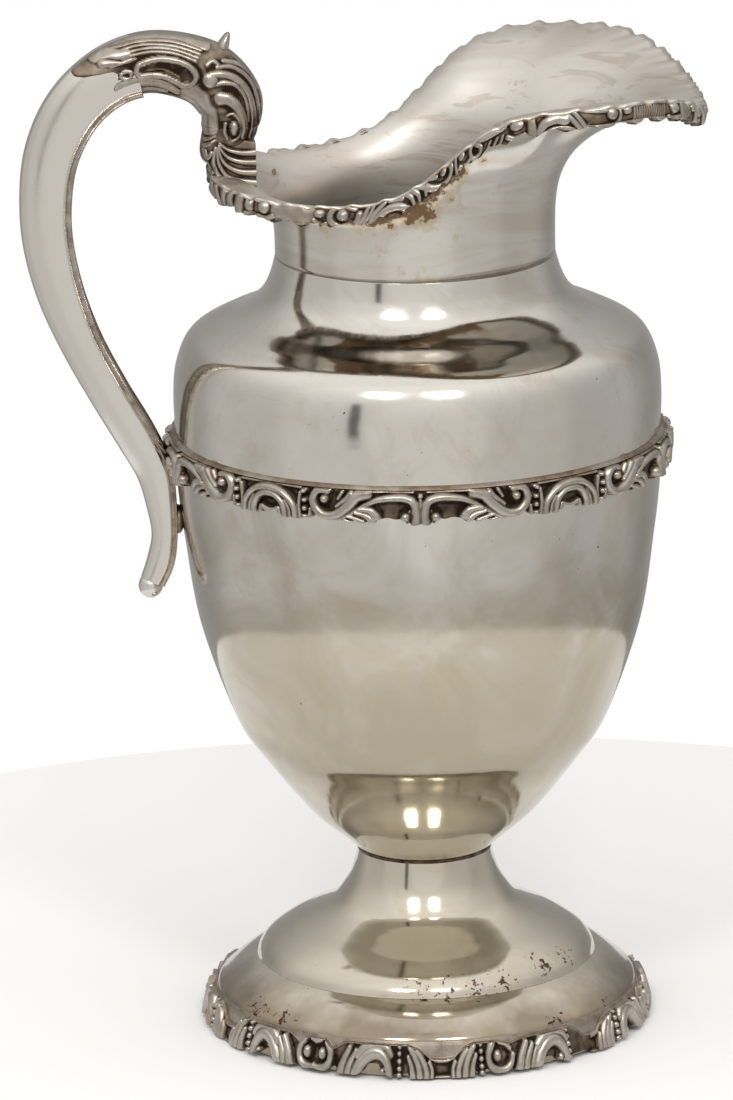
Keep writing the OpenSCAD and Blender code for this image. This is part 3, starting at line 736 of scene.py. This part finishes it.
# ---------------------------------------------------------------- lip border
# The pattern is drawn along the near edge (along, up from the edge) and repeated on the far side.
lip_marks = [
    bead([(20.5, -5.2), (21, 0.6)], 1, 1.3), bead([(24, -5.2), (24.6, 0.6)], 1.1, 1.5),
    bead([(28.2, -5.2), (28.8, 0.4)], 1.3, 1.6), knob((32.6, -1.6), (1.6, 2.4), 1.8),
    bead([(30.8, -4.9), (33.5, -4.6)], 0.7, 1.2), knob((38, -1.5), (2, 2.2), 2),
    bead([(35.6, -4.7), (38.6, -4.7), (41.2, -3.6)], 0.7, 1.3),
    bead([(43.6, -1.9), (47.5, -1.8), (52, -1.9)], 2.7, 1.1),
    bead([(42, 0.3), (47, 0.35), (53, 0.3)], 0.5, 0.8),
    bead([(42, -4.9), (47, -4.95), (53, -4.8)], 0.5, 0.8),
    knob((56, -1.5), (1.8, 1.5), 2), bead([(54.2, -3.6), (55.6, -4.9), (57.8, -4.6)], 0.6, 1.4),
    bead([(60.9, 0.2), (59.5, -1.4), (59.4, -3.6), (61.2, -5.4), (64.4, -5.7), (67.2, -4.4), (68.2, -2.2)],
     (0.8, 0.9), 1.7),
    knob((63, -2.1), 2, 2.2),
    bead([(64.2, 0.2), (67, -0.6)], 0.6, 1.2),
    bead([(66.6, -5.5), (69.2, -3.6), (71.2, 0.2)], (0.8, 0.6), 1.5),
    bead([(68.6, -5.4), (71, -3.2), (72.8, 0.3)], (0.7, 0.5), 1.4),
    bead([(71.4, -5.3), (72.8, -2.6), (76, -0.2)], (0.9, 0.6), 1.6),
    bead([(73.4, -4.8), (75, -3.1), (77.8, -2.2), (80.8, -2.8), (83.4, -4.7)], (1.2, 0.9), 2),
    knob((82.4, -5), 1.1, 1.7), bead([(77.6, 0.1), (81.4, -0.7)], 0.8, 1.3),
    bead([(82.4, 0.4), (84.6, -1.6), (85.6, -4.2)], (0.8, 0.5), 1.4),
    bead([(84.8, 0.4), (87, -1.8), (87.6, -4.4)], (0.8, 0.5), 1.4),
    bead([(87.4, 0.4), (89.6, -1.4), (89.9, -3.6)], (0.9, 0.5), 1.5),
    bead([(90, -1.4), (92.6, -3.3), (95.6, -4.6), (98.6, -4.2), (99.9, -2), (99.4, 0), (97.8, 0.5)],
     (0.9, 0.7), 1.8),
    knob((96.9, -0.9), 1.4, 2), bead([(90.9, 0.4), (94, -0.8)], 0.6, 1.3),
    bead([(101.9, 0.5), (101.7, -2.2), (102.3, -4.9)], 0.55, 1.4),
    knob((104.2, -0.7), 1.4, 2), bead([(103.3, -3.6), (105.3, -4.8), (107.3, -3.6)], 0.7, 1.5),
    bead([(108.6, 0.4), (107.6, -1.6), (108.6, -4), (110.8, -4.1), (111.6, -2.2), (110.2, -0.9)], 0.6, 1.7),
    bead([(111.4, 0.1), (115, -0.4), (119.2, -0.3)], (0.9, 0.8), 1.7),
    bead([(113.6, -4.9), (115.2, -2.4)], 0.4, 1), bead([(116.2, -4.9), (117.6, -2.4)], 0.4, 1),
    bead([(118.6, -4.9), (119.4, -2.6)], 0.4, 1),
    knob((120.3, -0.2), (0.7, 1), 1.4), knob((124.1, -0.9), (2.3, 1.7), 2),
    bead([(121, -3.6), (123.6, -4.9), (126.4, -4.4)], 0.6, 1.3),
    bead([(128.6, 0.5), (128.6, -2.2), (128.9, -5.1)], (0.9, 1), 1.7),
    bead([(130.6, -4.4), (132.6, -2.2), (135.6, -1.2), (138.2, -1.6)], (0.9, 1.4), 1.9),
    bead([(132.2, -5.3), (135.2, -4.3), (138.6, -4.3), (141, -5)], 0.6, 1.3),
    bead([(138.4, 0.5), (140.4, -2), (143, -4.9)], 0.65, 1.6),
    bead([(140.8, 0.5), (142.4, -1.9), (144.6, -4.9)], 0.65, 1.6),
    bead([(145, 0.3), (148.4, -0.2), (151, -0.2)], 0.6, 1.2), knob((152.7, -1.4), (1.7, 2), 2),
    bead([(144.8, -5.2), (149, -5), (153.4, -4.9)], 0.5, 1),
    knob((157.6, -0.8), (1.5, 1.5), 2), bead([(155.4, 0.4), (155.1, -3.8)], 0.45, 1.2),
    bead([(159.4, 0.3), (166, 0.3), (172.6, 0.2)], 0.5, 1.1),
    bead([(156.4, -5), (165, -4.8), (173, -4.9)], 0.55, 1.1),
    knob((176.8, -1.6), (1.9, 1.9), 2), bead([(174.2, -4.4), (177, -4.9), (179.8, -4.2)], 0.6, 1.4),
    bead([(180.6, 0.4), (180.9, -4.6)], 0.5, 1.4), knob((188.6, -1), 1.3, 1.8),
    bead([(190.8, 0.4), (191.2, -4.6)], 0.6, 1.5), knob((194.2, -1.6), (1.6, 2), 1.9),
    bead([(192.6, -4.6), (196.6, -4.6)], 0.6, 1.3),
    bead([(197.4, 0.3), (200.6, -1.8), (202.2, -4.8)], 0.8, 1.6),
    bead([(200.6, 0.4), (203.6, -1.8), (205.4, -4.8)], 0.8, 1.6), knob((208.4, -1.4), 1.8, 2),
    bead([(206.6, -4.7), (210.4, -4.7)], 0.6, 1.3), bead([(212.6, 0.4), (213, -4.9)], 0.6, 1.5),
    bead([(215.6, -4.6), (218, -1.6), (222, 0.2), (226, 0.3), (230, 0.3)], (0.9, 0.8), 1.8),
    bead([(219.6, -4.6), (222.4, -2.2), (226.6, -1.4), (230, -1.3)], 0.6, 1.6),
    knob((226.6, -3.9), 1.2, 1.8),
    bead([(14, 0.3), (17.5, -5)], 1, 1.4), bead([(8.5, 0.3), (12, -5)], 1, 1.4),
    bead([(3, 0.3), (6.5, -5)], 1, 1.4),
] + [bead([(160.4 + 0.9 * k, -0.6), (160.2 + 0.9 * k, -4.3)], 0.3, 0.7) for k in range(14)] \
  + [bead([(182.2 + 1.0 * k, 0), (182.4 + 1.0 * k, -4.6)], 0.34, 0.9) for k in range(5)]


def lip_casting(i):
    ends = [6.0, HALF_RIM / 2 + 4, HALF_RIM, 1.5 * HALF_RIM - 4, 2 * HALF_RIM - 6.0]
    cols, rows = 900, 40
    s = np.linspace(ends[i], ends[i + 1], cols)
    along = np.minimum(s, 2 * HALF_RIM - s)
    t = np.interp(s, rim_s, rim_t)
    top = 0.1 + 0.8 * wave_of(along)
    low = -5.0 - 0.7 * np.cos(along * 0.62 + 0.7) - 0.4 * np.cos(along * 1.4)
    V, v = rows_between(low, top, rows)
    H = np.maximum(paint(drawing(along, V), lip_marks, 1.4), 0.25)
    rec = tarnish_of(H, 1.7, (4, 5), 0.75)
    rec = rec * np.clip(1.15 - 0.9 * np.exp(-((V - top) / 0.5) ** 2), 0, 1)
    edge = np.minimum(1, np.minimum(v, 1 - v) * (rows - 1) / 1.5)
    reach = lip_reach(t)
    turn = np.arctan2(lip_y(t), lip_x(t))
    bulge = 0.55 * np.sin(v * math.pi)
    height = lip_z(t) + V
    front = on_circle(reach + 0.25 + bulge + (0.2 + 0.82 * H) * edge, turn, height)
    back = on_circle(reach - 1.3 - 0.9 * np.clip(-V / 3, 0, 1), turn, height - 0.15)
    return strip("lip_casting_%d" % (i + 1), front, back, rec, behind=0.05)


for i in range(4):
    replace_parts(lip_casting(i), "lip_border_%d" % (i + 1))

# ---------------------------------------------------------------- handle
STRIP_T, HANDLE_W, TAIL_W = 1.8, 17.0, 8.0
# the way down the handle: x, z and depth of its section
handle_points = [
    [-55.3, 282.6, 17], [-55.2, 289.5, 19.8], [-61, 297, 20.2], [-70, 300.8, 19.4],
    [-80, 301.9, 18.6], [-90, 299, 17.8], [-99, 292.4, 17.2], [-105.6, 283.4, 16.8],
    [-109.9, 272, 16.2], [-111.4, 258, 15.6], [-110.5, 245, 15.2], [-107.2, 230.6, 14.2],
    [-101.3, 215.3, 12.9], [-93.5, 200, 12.4], [-85.6, 186, 12.3], [-80.6, 175.6, 11.2],
    [-78.6, 165, 9.3], [-77.9, 155.5, 7.8], [-79.2, 147.5, 8.2], [-81.8, 141, 7.4]]
HANDLE_END = len(handle_points) - 1
SHEET_FROM = 4.3
STEPS = 24
path = spline(handle_points, STEPS)
path_share = np.arange(len(path)) / STEPS
path_nor = -normals(path[:, :2])
path_nor[0] = [1, 0]


def spow(v, p):
    """A power that keeps the sign, for sections between a circle and a box."""
    return np.sign(v) * np.abs(v) ** p


class Along:
    """Centre, normal, depth and width of the handle at share u of the way, in points of the outline."""

    def __init__(self, u):
        self.x, self.z, self.depth = (np.interp(u, path_share, path[:, k]) for k in range(3))
        nx, nz = (np.interp(u, path_share, path_nor[:, k]) for k in range(2))
        size = np.hypot(nx, nz)
        self.nx, self.nz = nx / size, nz / size
        self.width = HANDLE_W + (TAIL_W - HANDLE_W) * (u / HANDLE_END) ** 1.3

    def at(self, out):
        """x and z at a distance out from the centre line."""
        return self.x + self.nx * out, self.z + self.nz * out


def swept(name, way, out, across, material):
    """A closed piece along the handle, its sections given out from the centre line and across it."""
    x, z = way.at(out)
    faces = [grid_faces(*x.shape, wrap_cols=True)[:, ::-1], *end_caps(*x.shape)]
    return mesh_object(name, np.stack([x, -across, z], -1), np.vstack(faces), material)


def handle_shell_piece():
    """The hollow outer sheet, bent to a D."""
    way = Along(np.linspace(SHEET_FROM, HANDLE_END, 420)[:, None])
    a = np.linspace(0, math.pi, 61)
    low, rise, half = STRIP_T - way.depth / 2, way.depth - STRIP_T, way.width / 2
    out, across = low + rise * np.sin(a) ** 0.8, half * spow(np.cos(a), 0.8)
    inner_out, inner_across = low + (rise - 1.3) * np.sin(a) ** 0.8, (half - 1.3) * spow(np.cos(a), 0.8)
    return swept("handle_hollow", way, np.hstack([out, inner_out[:, ::-1]]),
                 np.hstack([across, inner_across[:, ::-1]]), HANDLED)


def handle_strip_piece():
    """The flat inner strip: a slightly hollow face between two narrow raised edges."""
    way = Along(np.linspace(SHEET_FROM, HANDLE_END, 420)[:, None])
    # half of its section, from the edge to the middle: across, out, and how brown it is
    half = np.array([[1.0, 0.02, 0.4], [0.99, -0.35, 0.3], [0.94, -0.82, 0.1], [0.87, -1.0, 0.05],
                     [0.78, -0.97, 0.3], [0.7, -0.8, 0.55], [0.4, -0.68, 0.3], [0, -0.64, 0.2]])
    section = np.vstack([half * [-1, 1, 1], half[-2::-1]])
    out = STRIP_T - way.depth / 2 + section[:, 1] * STRIP_T
    ob = swept("handle_inner_strip", way, out, section[:, 0] * way.width / 2, EDGED)
    set_colour(ob, "recess", np.broadcast_to(section[:, 2], out.shape))
    return ob


# The cast leaf on the head, drawn on the side of the handle as (x, z).
head_marks = [
    # long cartouche loop
    bead([(-83.2, 300.5), (-82.2, 302.6), (-78.6, 304), (-74.8, 304.3), (-71, 303.6), (-67.9, 302.2),
           (-65.7, 300), (-65.4, 297.9), (-66.8, 296.1), (-69, 295.5), (-71.5, 296.9), (-74.9, 298.7),
           (-78.7, 299.3), (-81.8, 299.1), (-83.2, 300.5)], (0.8, 0.8), 1.2),
    bead([(-80.4, 301), (-75, 301), (-70.5, 298.6)], (0.28, 0.28), 0.55),
    bead([(-78, 300.2), (-73.6, 299.7), (-70.4, 297.5)], (0.24, 0.24), 0.5),
    # small oval link
    bead([(-88.2, 299.4), (-86.6, 300.7), (-84.9, 300.4), (-84.9, 298.9), (-86.6, 298.3), (-88.2, 299.4)],
         0.5, 0.95),
    # lower tongue
    bead([(-89, 294.6), (-86.4, 296.3), (-82, 297.2), (-77.6, 297), (-73.8, 295.6), (-71, 293.8)],
         (1.9, 0.9), 1.15),
    bead([(-87.2, 293), (-83, 294.4), (-78.6, 294.9), (-74.2, 293.9)], (0.9, 0.5), 0.9),
    # upper leaf with long flutes
    bead([(-95.6, 305.6), (-92, 306.4), (-88.6, 305.9), (-86, 306.2)], (2, 1.2), 1),
    bead([(-93.4, 303.4), (-90.6, 303.4), (-88, 303.4)], (1.3, 0.5), 1),
    bead([(-92, 308.6), (-85, 310.6), (-78, 311.2), (-70, 310.4), (-62, 307.4)], (1.1, 1.1), 0.95),
    bead([(-91, 307.4), (-84, 309.3), (-78, 309.8), (-71, 309), (-63.6, 306.4)], (0.42, 0.42), 0.8),
    bead([(-89.6, 306.4), (-84, 308.2), (-78, 308.7), (-71, 307.8), (-64, 305.3)], (0.4, 0.4), 0.75),
    bead([(-88.4, 305.4), (-83, 307.1), (-77, 307.6), (-71, 306.7), (-64.6, 304.2)], (0.4, 0.4), 0.75),
    bead([(-87.4, 304.4), (-82.6, 306), (-77, 306.5), (-71, 305.6), (-65.2, 303.2)], (0.4, 0.4), 0.72),
    bead([(-86.2, 303.4), (-83.4, 304.6)], (0.4, 0.4), 0.7),
    bead([(-90.8, 302.4), (-86.6, 303.6), (-84.4, 304.6)], (0.6, 0.4), 0.75),
    # scroll from its ball round the head, with ribs outside it
    knob((-61.1, 297.3), 2.5, 1.5),
    bead([(-60.6, 299), (-57.6, 299.2), (-54.4, 298.2), (-51.4, 295.8), (-49.3, 292), (-48.3, 287.4),
           (-48.2, 283), (-49.2, 279.4)], (0.95, 0.7), 1.2),
    bead([(-59, 301.2), (-55, 301.2), (-51.2, 299), (-48.2, 295.2), (-46.9, 290), (-46.5, 284.6)],
         (0.6, 0.45), 0.85),
    bead([(-57, 303), (-52.8, 301.8), (-49, 298.6), (-46.6, 294)], (0.55, 0.45), 0.8),
    bead([(-59.4, 296), (-56.8, 296.5), (-53.6, 295.6), (-51.2, 292.6), (-50, 288.6), (-49.8, 284.4)],
         (0.6, 0.5), 0.9),
    # teardrop leaf and the eye in the middle of the scroll
    bead([(-58.2, 291.6), (-56, 291.4), (-53.6, 289.6), (-51.8, 286.4), (-51, 282.8), (-51.7, 279.4)],
         (1.75, 0.6), 1.5),
    bead([(-56.4, 286.4), (-54.6, 287), (-52.9, 285), (-52.3, 282.2), (-53, 279.6), (-55, 278.3)],
         (0.4, 0.4), 0.9),
    knob((-54.3, 282.5), (1.5, 2.5), 1.7),
    bead([(-56.9, 284), (-57.2, 281.4), (-56.4, 279.2)], 0.5, 0.9),
    # smooth cheek below the scroll, with two feather cuts
    bead([(-67.6, 294.4), (-64.6, 291.4), (-62.3, 287.2), (-61.6, 282.6)], (2.9, 2.3), 0.85),
    bead([(-62.9, 280.6), (-60.6, 281.4)], (0.5, 0.35), 0.8),
    bead([(-63, 278.7), (-60.2, 279.9)], (0.5, 0.35), 0.8),
    bead([(-63.2, 276.8), (-60, 278.6)], (0.55, 0.35), 0.8),
    bead([(-62, 301.9), (-60.2, 303.2), (-58.6, 302)], 0.5, 0.8),
    # flutes that fan out from below the eye to the lip
    bead([(-58.8, 277.6), (-56, 275.6), (-52, 274.6), (-47.6, 274.6)], (0.35, 0.9), 1.1),
    bead([(-59, 277), (-56.6, 273.6), (-52.4, 271.9), (-47.6, 271.6)], (0.35, 0.9), 1.2),
    bead([(-59.2, 276.6), (-57.6, 271.8), (-53.4, 269), (-47.6, 268.4)], (0.35, 0.95), 1.2),
    bead([(-59.5, 276.4), (-58.9, 271), (-55.6, 266.8), (-48, 265.2)], (0.35, 0.95), 1.1),
    bead([(-60, 276.2), (-60.6, 271.2), (-58.6, 267), (-55, 264.6)], (0.5, 0.9), 1),
    bead([(-63.4, 275.4), (-62.6, 273.2), (-61.2, 274.8)], 0.6, 0.9),
    bead([(-63, 271.4), (-61.2, 268.6)], 0.7, 0.9),
]
HEAD_FAT = 1.25


def head_relief(x, z):
    """Height of the relief on the side of the head, and its tarnish."""
    H = np.maximum(paint(np.stack([x, z], -1), head_marks, HEAD_FAT), 0.3)
    return H, np.clip(tarnish_of(H, 1.0, (5, 6), 0.5) + 0.08, 0, 1)


def raised(y, a, H):
    """The side of the head moved out by the relief, less on its back and inner side."""
    side = np.abs(spow(np.sin(a), 0.9))
    return y - 0.75 * side * np.sign(y) + np.sign(y) * side * (H * 0.85 + 0.05)


def cap_end_of(w):
    """Where the cast leaf stops along the handle, for w from the inner side (-1) to the outer (1)."""
    return np.interp(w, [-1, -0.86, -0.6, -0.3, -0.12, 0.0, 0.14, 0.3, 0.55, 0.8, 1],
                     [5.05, 5.22, 5.3, 5.2, 4.98, 4.86, 4.95, 5.3, 5.62, 5.78, 5.8])


def handle_cap_piece():
    """The cast leaf over the top of the handle."""
    rows, ring = 430, 192
    a = (np.arange(ring) + 0.5) * 2 * math.pi / ring
    w = np.cos(a)
    share = np.linspace(0, 1, rows)[:, None]
    u = share * cap_end_of(w)
    way = Along(u)
    out = way.depth / 2 * 1.005 * spow(w, 0.9)
    y = (way.width / 2 + 0.25) * spow(np.sin(a), 0.72)
    H, rec = head_relief(*way.at(out))
    # ribs over the back of the head
    ribs = 0.28 * (0.5 + 0.5 * np.cos(y * 2.3)) * np.clip(w - 0.75, 0, 1) * 4 * np.clip(1.4 - u, 0, 1)
    taper = np.clip((1 - share) * rows / 5, 0, 1) ** 0.5
    y = raised(y, a, H) * (0.93 + 0.07 * taper)
    out = (out + w * (ribs - 0.12)) * (0.96 + 0.04 * taper)
    x, z = way.at(out)
    v = np.stack([x, -y, z], -1)
    # each end closes over a smaller ring, half way in to its middle
    ends = [(v[k] + v[k].mean(0)) / 2 for k in (0, -1)]
    v = np.concatenate([ends[0][None], v, ends[1][None]])
    faces = [grid_faces(rows + 2, ring, wrap_cols=True)[:, ::-1], *end_caps(rows + 2, ring)]
    ob = mesh_object("handle_leaf", v, np.vstack(faces), CAST)
    rec = np.where(np.abs(w) > 0.95, 0.15, rec)
    rec = np.maximum(rec, np.clip((share - 0.985) / 0.01, 0, 1) * 0.8)
    set_colour(ob, "recess", np.pad(rec, ((1, 1), (0, 0)), constant_values=0.7))
    return ob


SCROLL_X, SCROLL_Z, SCROLL_R = -55.3, 282.6, 8.5


def volute_piece():
    """Lower half of the scroll: a rounded half drum that carries the same relief on."""
    rows, ring = 150, 120
    phi = np.linspace(0, -math.pi, rows)[:, None]
    a = (np.arange(ring) + 0.5) / ring * math.pi - math.pi / 2
    r = SCROLL_R * 1.005 * np.abs(np.cos(a)) ** 0.9
    x, z = SCROLL_X + r * np.cos(phi), SCROLL_Z + r * np.sin(phi)
    H, rec = head_relief(x, z)
    y = raised((HANDLE_W / 2 + 0.25) * spow(np.sin(a), 0.72), a, H)
    # a spine through the middle of the drum closes its flat upper side
    spine = np.stack([np.full(ring, SCROLL_X), -y[0], np.full(ring, SCROLL_Z)], -1)
    v = np.concatenate([np.stack([x, -y, z], -1), spine[None]])
    ob = mesh_object("scroll_drum", v, grid_faces(rows + 1, ring, wrap_rows=True), CAST)
    set_colour(ob, "recess", np.pad(rec, ((0, 1), (0, 0)), constant_values=0.7))
    return ob


def bracket_piece():
    """Fluted leaf between the scroll and the back of the lip."""
    rows, cols = 130, 130
    q = np.linspace(0, 1, rows)[:, None]
    left = spline([[-60.3, 262.4], [-62.6, 268.2], [-62.2, 270.4], [-64.2, 272.6], [-64.3, 276],
                   [-63.4, 281]], 26)
    share = np.linspace(0, 1, len(left))
    left_x, left_z = (np.interp(q, share, left[:, k]) for k in (0, 1))
    right_x, right_z = -47.9, 262.6 + q * 14.6
    p = np.linspace(0, 1, cols)
    x = left_x * (1 - p) + right_x * p
    z = left_z * (1 - p) + right_z * p - 0.54 * np.sin(p * math.pi) * (1 - 2 * q)
    H, rec = head_relief(x, z)
    full = np.minimum(p * 6, 1) * np.minimum(q * 8, 1)
    y = 1.6 + 4.6 * np.sqrt(full) + 0.8 * np.clip(p - 0.3, 0, 1) + 0.85 * H
    return strip("lip_bracket", np.stack([x, -y, z], -1), np.stack([x, y, z], -1), rec, behind=rec[::-1])


# dark ring of solder between the bowl and the stem
seam_line = [[-1.2, -1.1], [0.02, -0.95], [0.06, -0.35], [0.3, 0.12], [-1.2, 0.2]]
seam = lathe("joint_seam", np.array(seam_line) + [JOINT_R, JOINT_Z], CAST)
set_colour(seam, "recess", np.full(len(seam.data.vertices), 0.85))
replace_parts(seam, "joint_ring")

for piece, node in ((handle_shell_piece, "handle_shell"), (handle_strip_piece, "handle_strip"),
                    (handle_cap_piece, "handle_cap"), (volute_piece, "volute"), (bracket_piece, "bracket")):
    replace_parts(piece(), node)


# ---------------------------------------------------------------- small rounded and turned pieces
def horn(p):
    """Bends and flattens the thumb leaf, wide at its foot and blunt at its tip."""
    q = p.copy()
    h = (p[..., 2] / 4.6 + 1) / 2
    q[..., 0] = p[..., 0] * (1.15 - 0.72 * h ** 0.8) + 1.1 * h ** 2
    q[..., 1] = p[..., 1] * (1.1 - 0.3 * h)
    return q


def round_piece(name, node, centre, radii, rec=0.0, turn=0.0, shape=None):
    """A closed rounded piece, such as a button or a rounded end."""
    rows, cols = 40, 60
    th = np.linspace(0.02, math.pi - 0.02, rows)[:, None]
    ph = np.arange(cols) * 2 * math.pi / cols
    full = np.sin(th) ** (0.6 if shape else 1.0)
    p = np.stack([full * np.cos(ph), full * np.sin(ph), np.cos(th) + 0 * ph], -1) * radii
    if shape:
        p = shape(p)
    c, s = math.cos(turn), math.sin(turn)
    p = np.stack([p[..., 0] * c + p[..., 2] * s, p[..., 1], p[..., 2] * c - p[..., 0] * s], -1) + centre
    faces = np.vstack([grid_faces(rows, cols, wrap_cols=True)[:, ::-1], *end_caps(rows, cols)])
    if node == "tail_cap":
        ob = mesh_object(name, p, faces, HANDLED)
    else:
        ob = mesh_object(name, p, faces, CAST)
        set_colour(ob, "recess", np.full(rows * cols, rec))
    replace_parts(ob, node)


def in_mm(node):
    """Lower and upper corner of a node's box."""
    return [np.array(corner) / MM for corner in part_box(node)]


round_piece("thumb_leaf", "spur", [-57.2, 0, 306], [2.6, 3.2, 4.6], rec=0.05, turn=0.22, shape=horn)
for k, side in ((1, -8.6), (2, 8.6)):
    round_piece("scroll_eye_%d" % k, "volute_button_%d" % k, [-54.3, side, 282.5], [1.2, 1.0, 2.1])
pad_lo, pad_hi = in_mm("handle_pad")
round_piece("handle_saddle", "handle_pad", (pad_lo + pad_hi) / 2, (pad_hi - pad_lo) / 2 * 1.12, rec=0.4)
wire_r, _, wire_h = in_mm("base_wire")[1]
base_line = soften([[wire_r - 3.6, 0], [wire_r, 0], [wire_r, wire_h], [wire_r - 3.6, wire_h]], 0.5)
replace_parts(lathe("base_wire_ring", base_line, DULL), "base_wire")
round_piece("tail_end", "tail_cap", [-82.4, 0, 139.4], [3.7, 4.1, 3.9])

# ---------------------------------------------------------------- stage
FLOOR_R = 0.30
SIDES = 120
floor = bpy.data.meshes.new("floor")
rim = [k * 2 * math.pi / SIDES for k in range(SIDES)]
floor.from_pydata([(FLOOR_R * math.cos(a), FLOOR_R * math.sin(a), 0) for a in rim], [], [tuple(range(SIDES))])
paper = bpy.data.materials.new("floor_paper")
paper.use_nodes = True
paper.node_tree.nodes["Principled BSDF"].inputs["Base Color"].default_value = (0.92, 0.92, 0.92, 1)
paper.node_tree.nodes["Principled BSDF"].inputs["Roughness"].default_value = 0.9
floor.materials.append(paper)
floor_object = bpy.data.objects.new("floor", floor)
bpy.context.scene.collection.objects.link(floor_object)


def place(ob, side, up, back, at):
    """Puts a camera or lamp at a point, with its own x, y and z along side, up and back."""
    bpy.context.scene.collection.objects.link(ob)
    turn = np.vstack([np.column_stack([side, up, back, at]), [0, 0, 0, 1]])
    ob.matrix_world = Matrix([[*row] for row in turn])


def way_to(azimuth, elevation):
    """Unit vector toward a point of the sky, and the level one to its left."""
    a, e = math.radians(azimuth), math.radians(elevation)
    return (np.array([math.cos(a) * math.cos(e), math.sin(a) * math.cos(e), math.sin(e)]),
            np.array([-math.sin(a), math.cos(a), 0.0]))


# ---------------------------------------------------------------- camera
CAM_DISTANCE, CAM_AZIMUTH, CAM_ELEVATION, TARGET_Z = 2.5, -94.0, 15.1, 0.1478
CAM_ROLL, CAM_AIM = math.radians(0.9), math.radians(0.373)
LENS, SENSOR = 402.139, 36.0
camera = bpy.data.cameras.new("camera")
camera.sensor_fit = "HORIZONTAL"
camera.sensor_width = SENSOR
camera.lens = LENS
camera.clip_end = 50
back, side = way_to(CAM_AZIMUTH, CAM_ELEVATION)
ahead = -back
up = np.cross(side, ahead)
eye = np.array([0, 0, TARGET_Z]) + back * CAM_DISTANCE
ahead, side = (ahead * math.cos(CAM_AIM) - side * math.sin(CAM_AIM),
               side * math.cos(CAM_AIM) + ahead * math.sin(CAM_AIM))
up, side = (up * math.cos(CAM_ROLL) + side * math.sin(CAM_ROLL),
            side * math.cos(CAM_ROLL) - up * math.sin(CAM_ROLL))
camera_object = bpy.data.objects.new("camera", camera)
place(camera_object, side, up, -ahead, eye)
bpy.context.scene.camera = camera_object

# ---------------------------------------------------------------- light
# The camera sees white all round. What is lit sees a soft room: bright in front and above, darker behind.
world = bpy.data.worlds.new("studio")
bpy.context.scene.world = world
sky = Tree(world)
heading = sky.nodes.new("ShaderNodeSeparateXYZ")
sky.put(heading.inputs[0], sky.nodes.new("ShaderNodeTexCoord").outputs["Generated"])
wx, wy, wz = heading.outputs


def soft(v, a, b, lo, hi):
    return sky.ramp(v, a, b, lo, hi, "SMOOTHSTEP")


def away(v, centre):
    return sky.calc("ABSOLUTE", sky.calc("SUBTRACT", v, centre))


room = soft(wy, 0.30, 0.80, 0.66, 0.38)
room = sky.add(room, soft(wy, -0.40, -0.20, 0.10, 0.0))
room = sky.add(room, soft(wy, -0.90, -0.84, 0.10, 0.0))
room = sky.times(room, soft(wx, 0.1, 1.0, 1.0, 0.84))
room = sky.add(room, soft(wz, 0.1, 1.0, 0.0, 0.50))
# a thin dark upright stand in the front of the room
STAND_TURN = math.radians(-124)
stand = sky.times(soft(away(sky.calc("ARCTAN2", wy, wx), STAND_TURN), 0.036, 0.052, 0.85, 0.0),
                  soft(away(wz, 0.12), 0.24, 0.34, 1.0, 0.0))
room = sky.times(room, sky.calc("SUBTRACT", 1.0, stand))
tint = sky.nodes.new("ShaderNodeCombineColor")
for k, gain in enumerate((1.0, 0.985, 0.965)):
    sky.put(tint.inputs[k], sky.times(room, gain))
seen, lit = sky.nodes.new("ShaderNodeBackground"), sky.nodes["Background"]
seen.inputs["Color"].default_value = (1, 1, 1, 1)
sky.put(lit.inputs["Color"], tint.outputs[0])
pick = sky.nodes.new("ShaderNodeMixShader")
sky.put(pick.inputs[0], sky.nodes.new("ShaderNodeLightPath").outputs["Is Camera Ray"])
sky.put(pick.inputs[1], lit.outputs[0])
sky.put(pick.inputs[2], seen.outputs[0])
sky.put(sky.nodes["World Output"].inputs["Surface"], pick.outputs[0])

# two soft boxes above and in front
BOX_SIZE, BOX_POWER, BOX_DISTANCE, BOX_ELEVATION = 0.3, 5.0, 1.7, 42.0
for k, azimuth in ((1, -113.0), (2, -79.0)):
    lamp = bpy.data.lights.new("soft_box_%d" % k, "AREA")
    lamp.shape = "SQUARE"
    lamp.size = BOX_SIZE
    lamp.energy = BOX_POWER
    back, side = way_to(azimuth, BOX_ELEVATION)
    place(bpy.data.objects.new(lamp.name, lamp), side, np.cross(back, side), back,
          np.array([0, 0, 0.15]) + back * BOX_DISTANCE)
bpy.context.scene.view_settings.view_transform = "Standard"
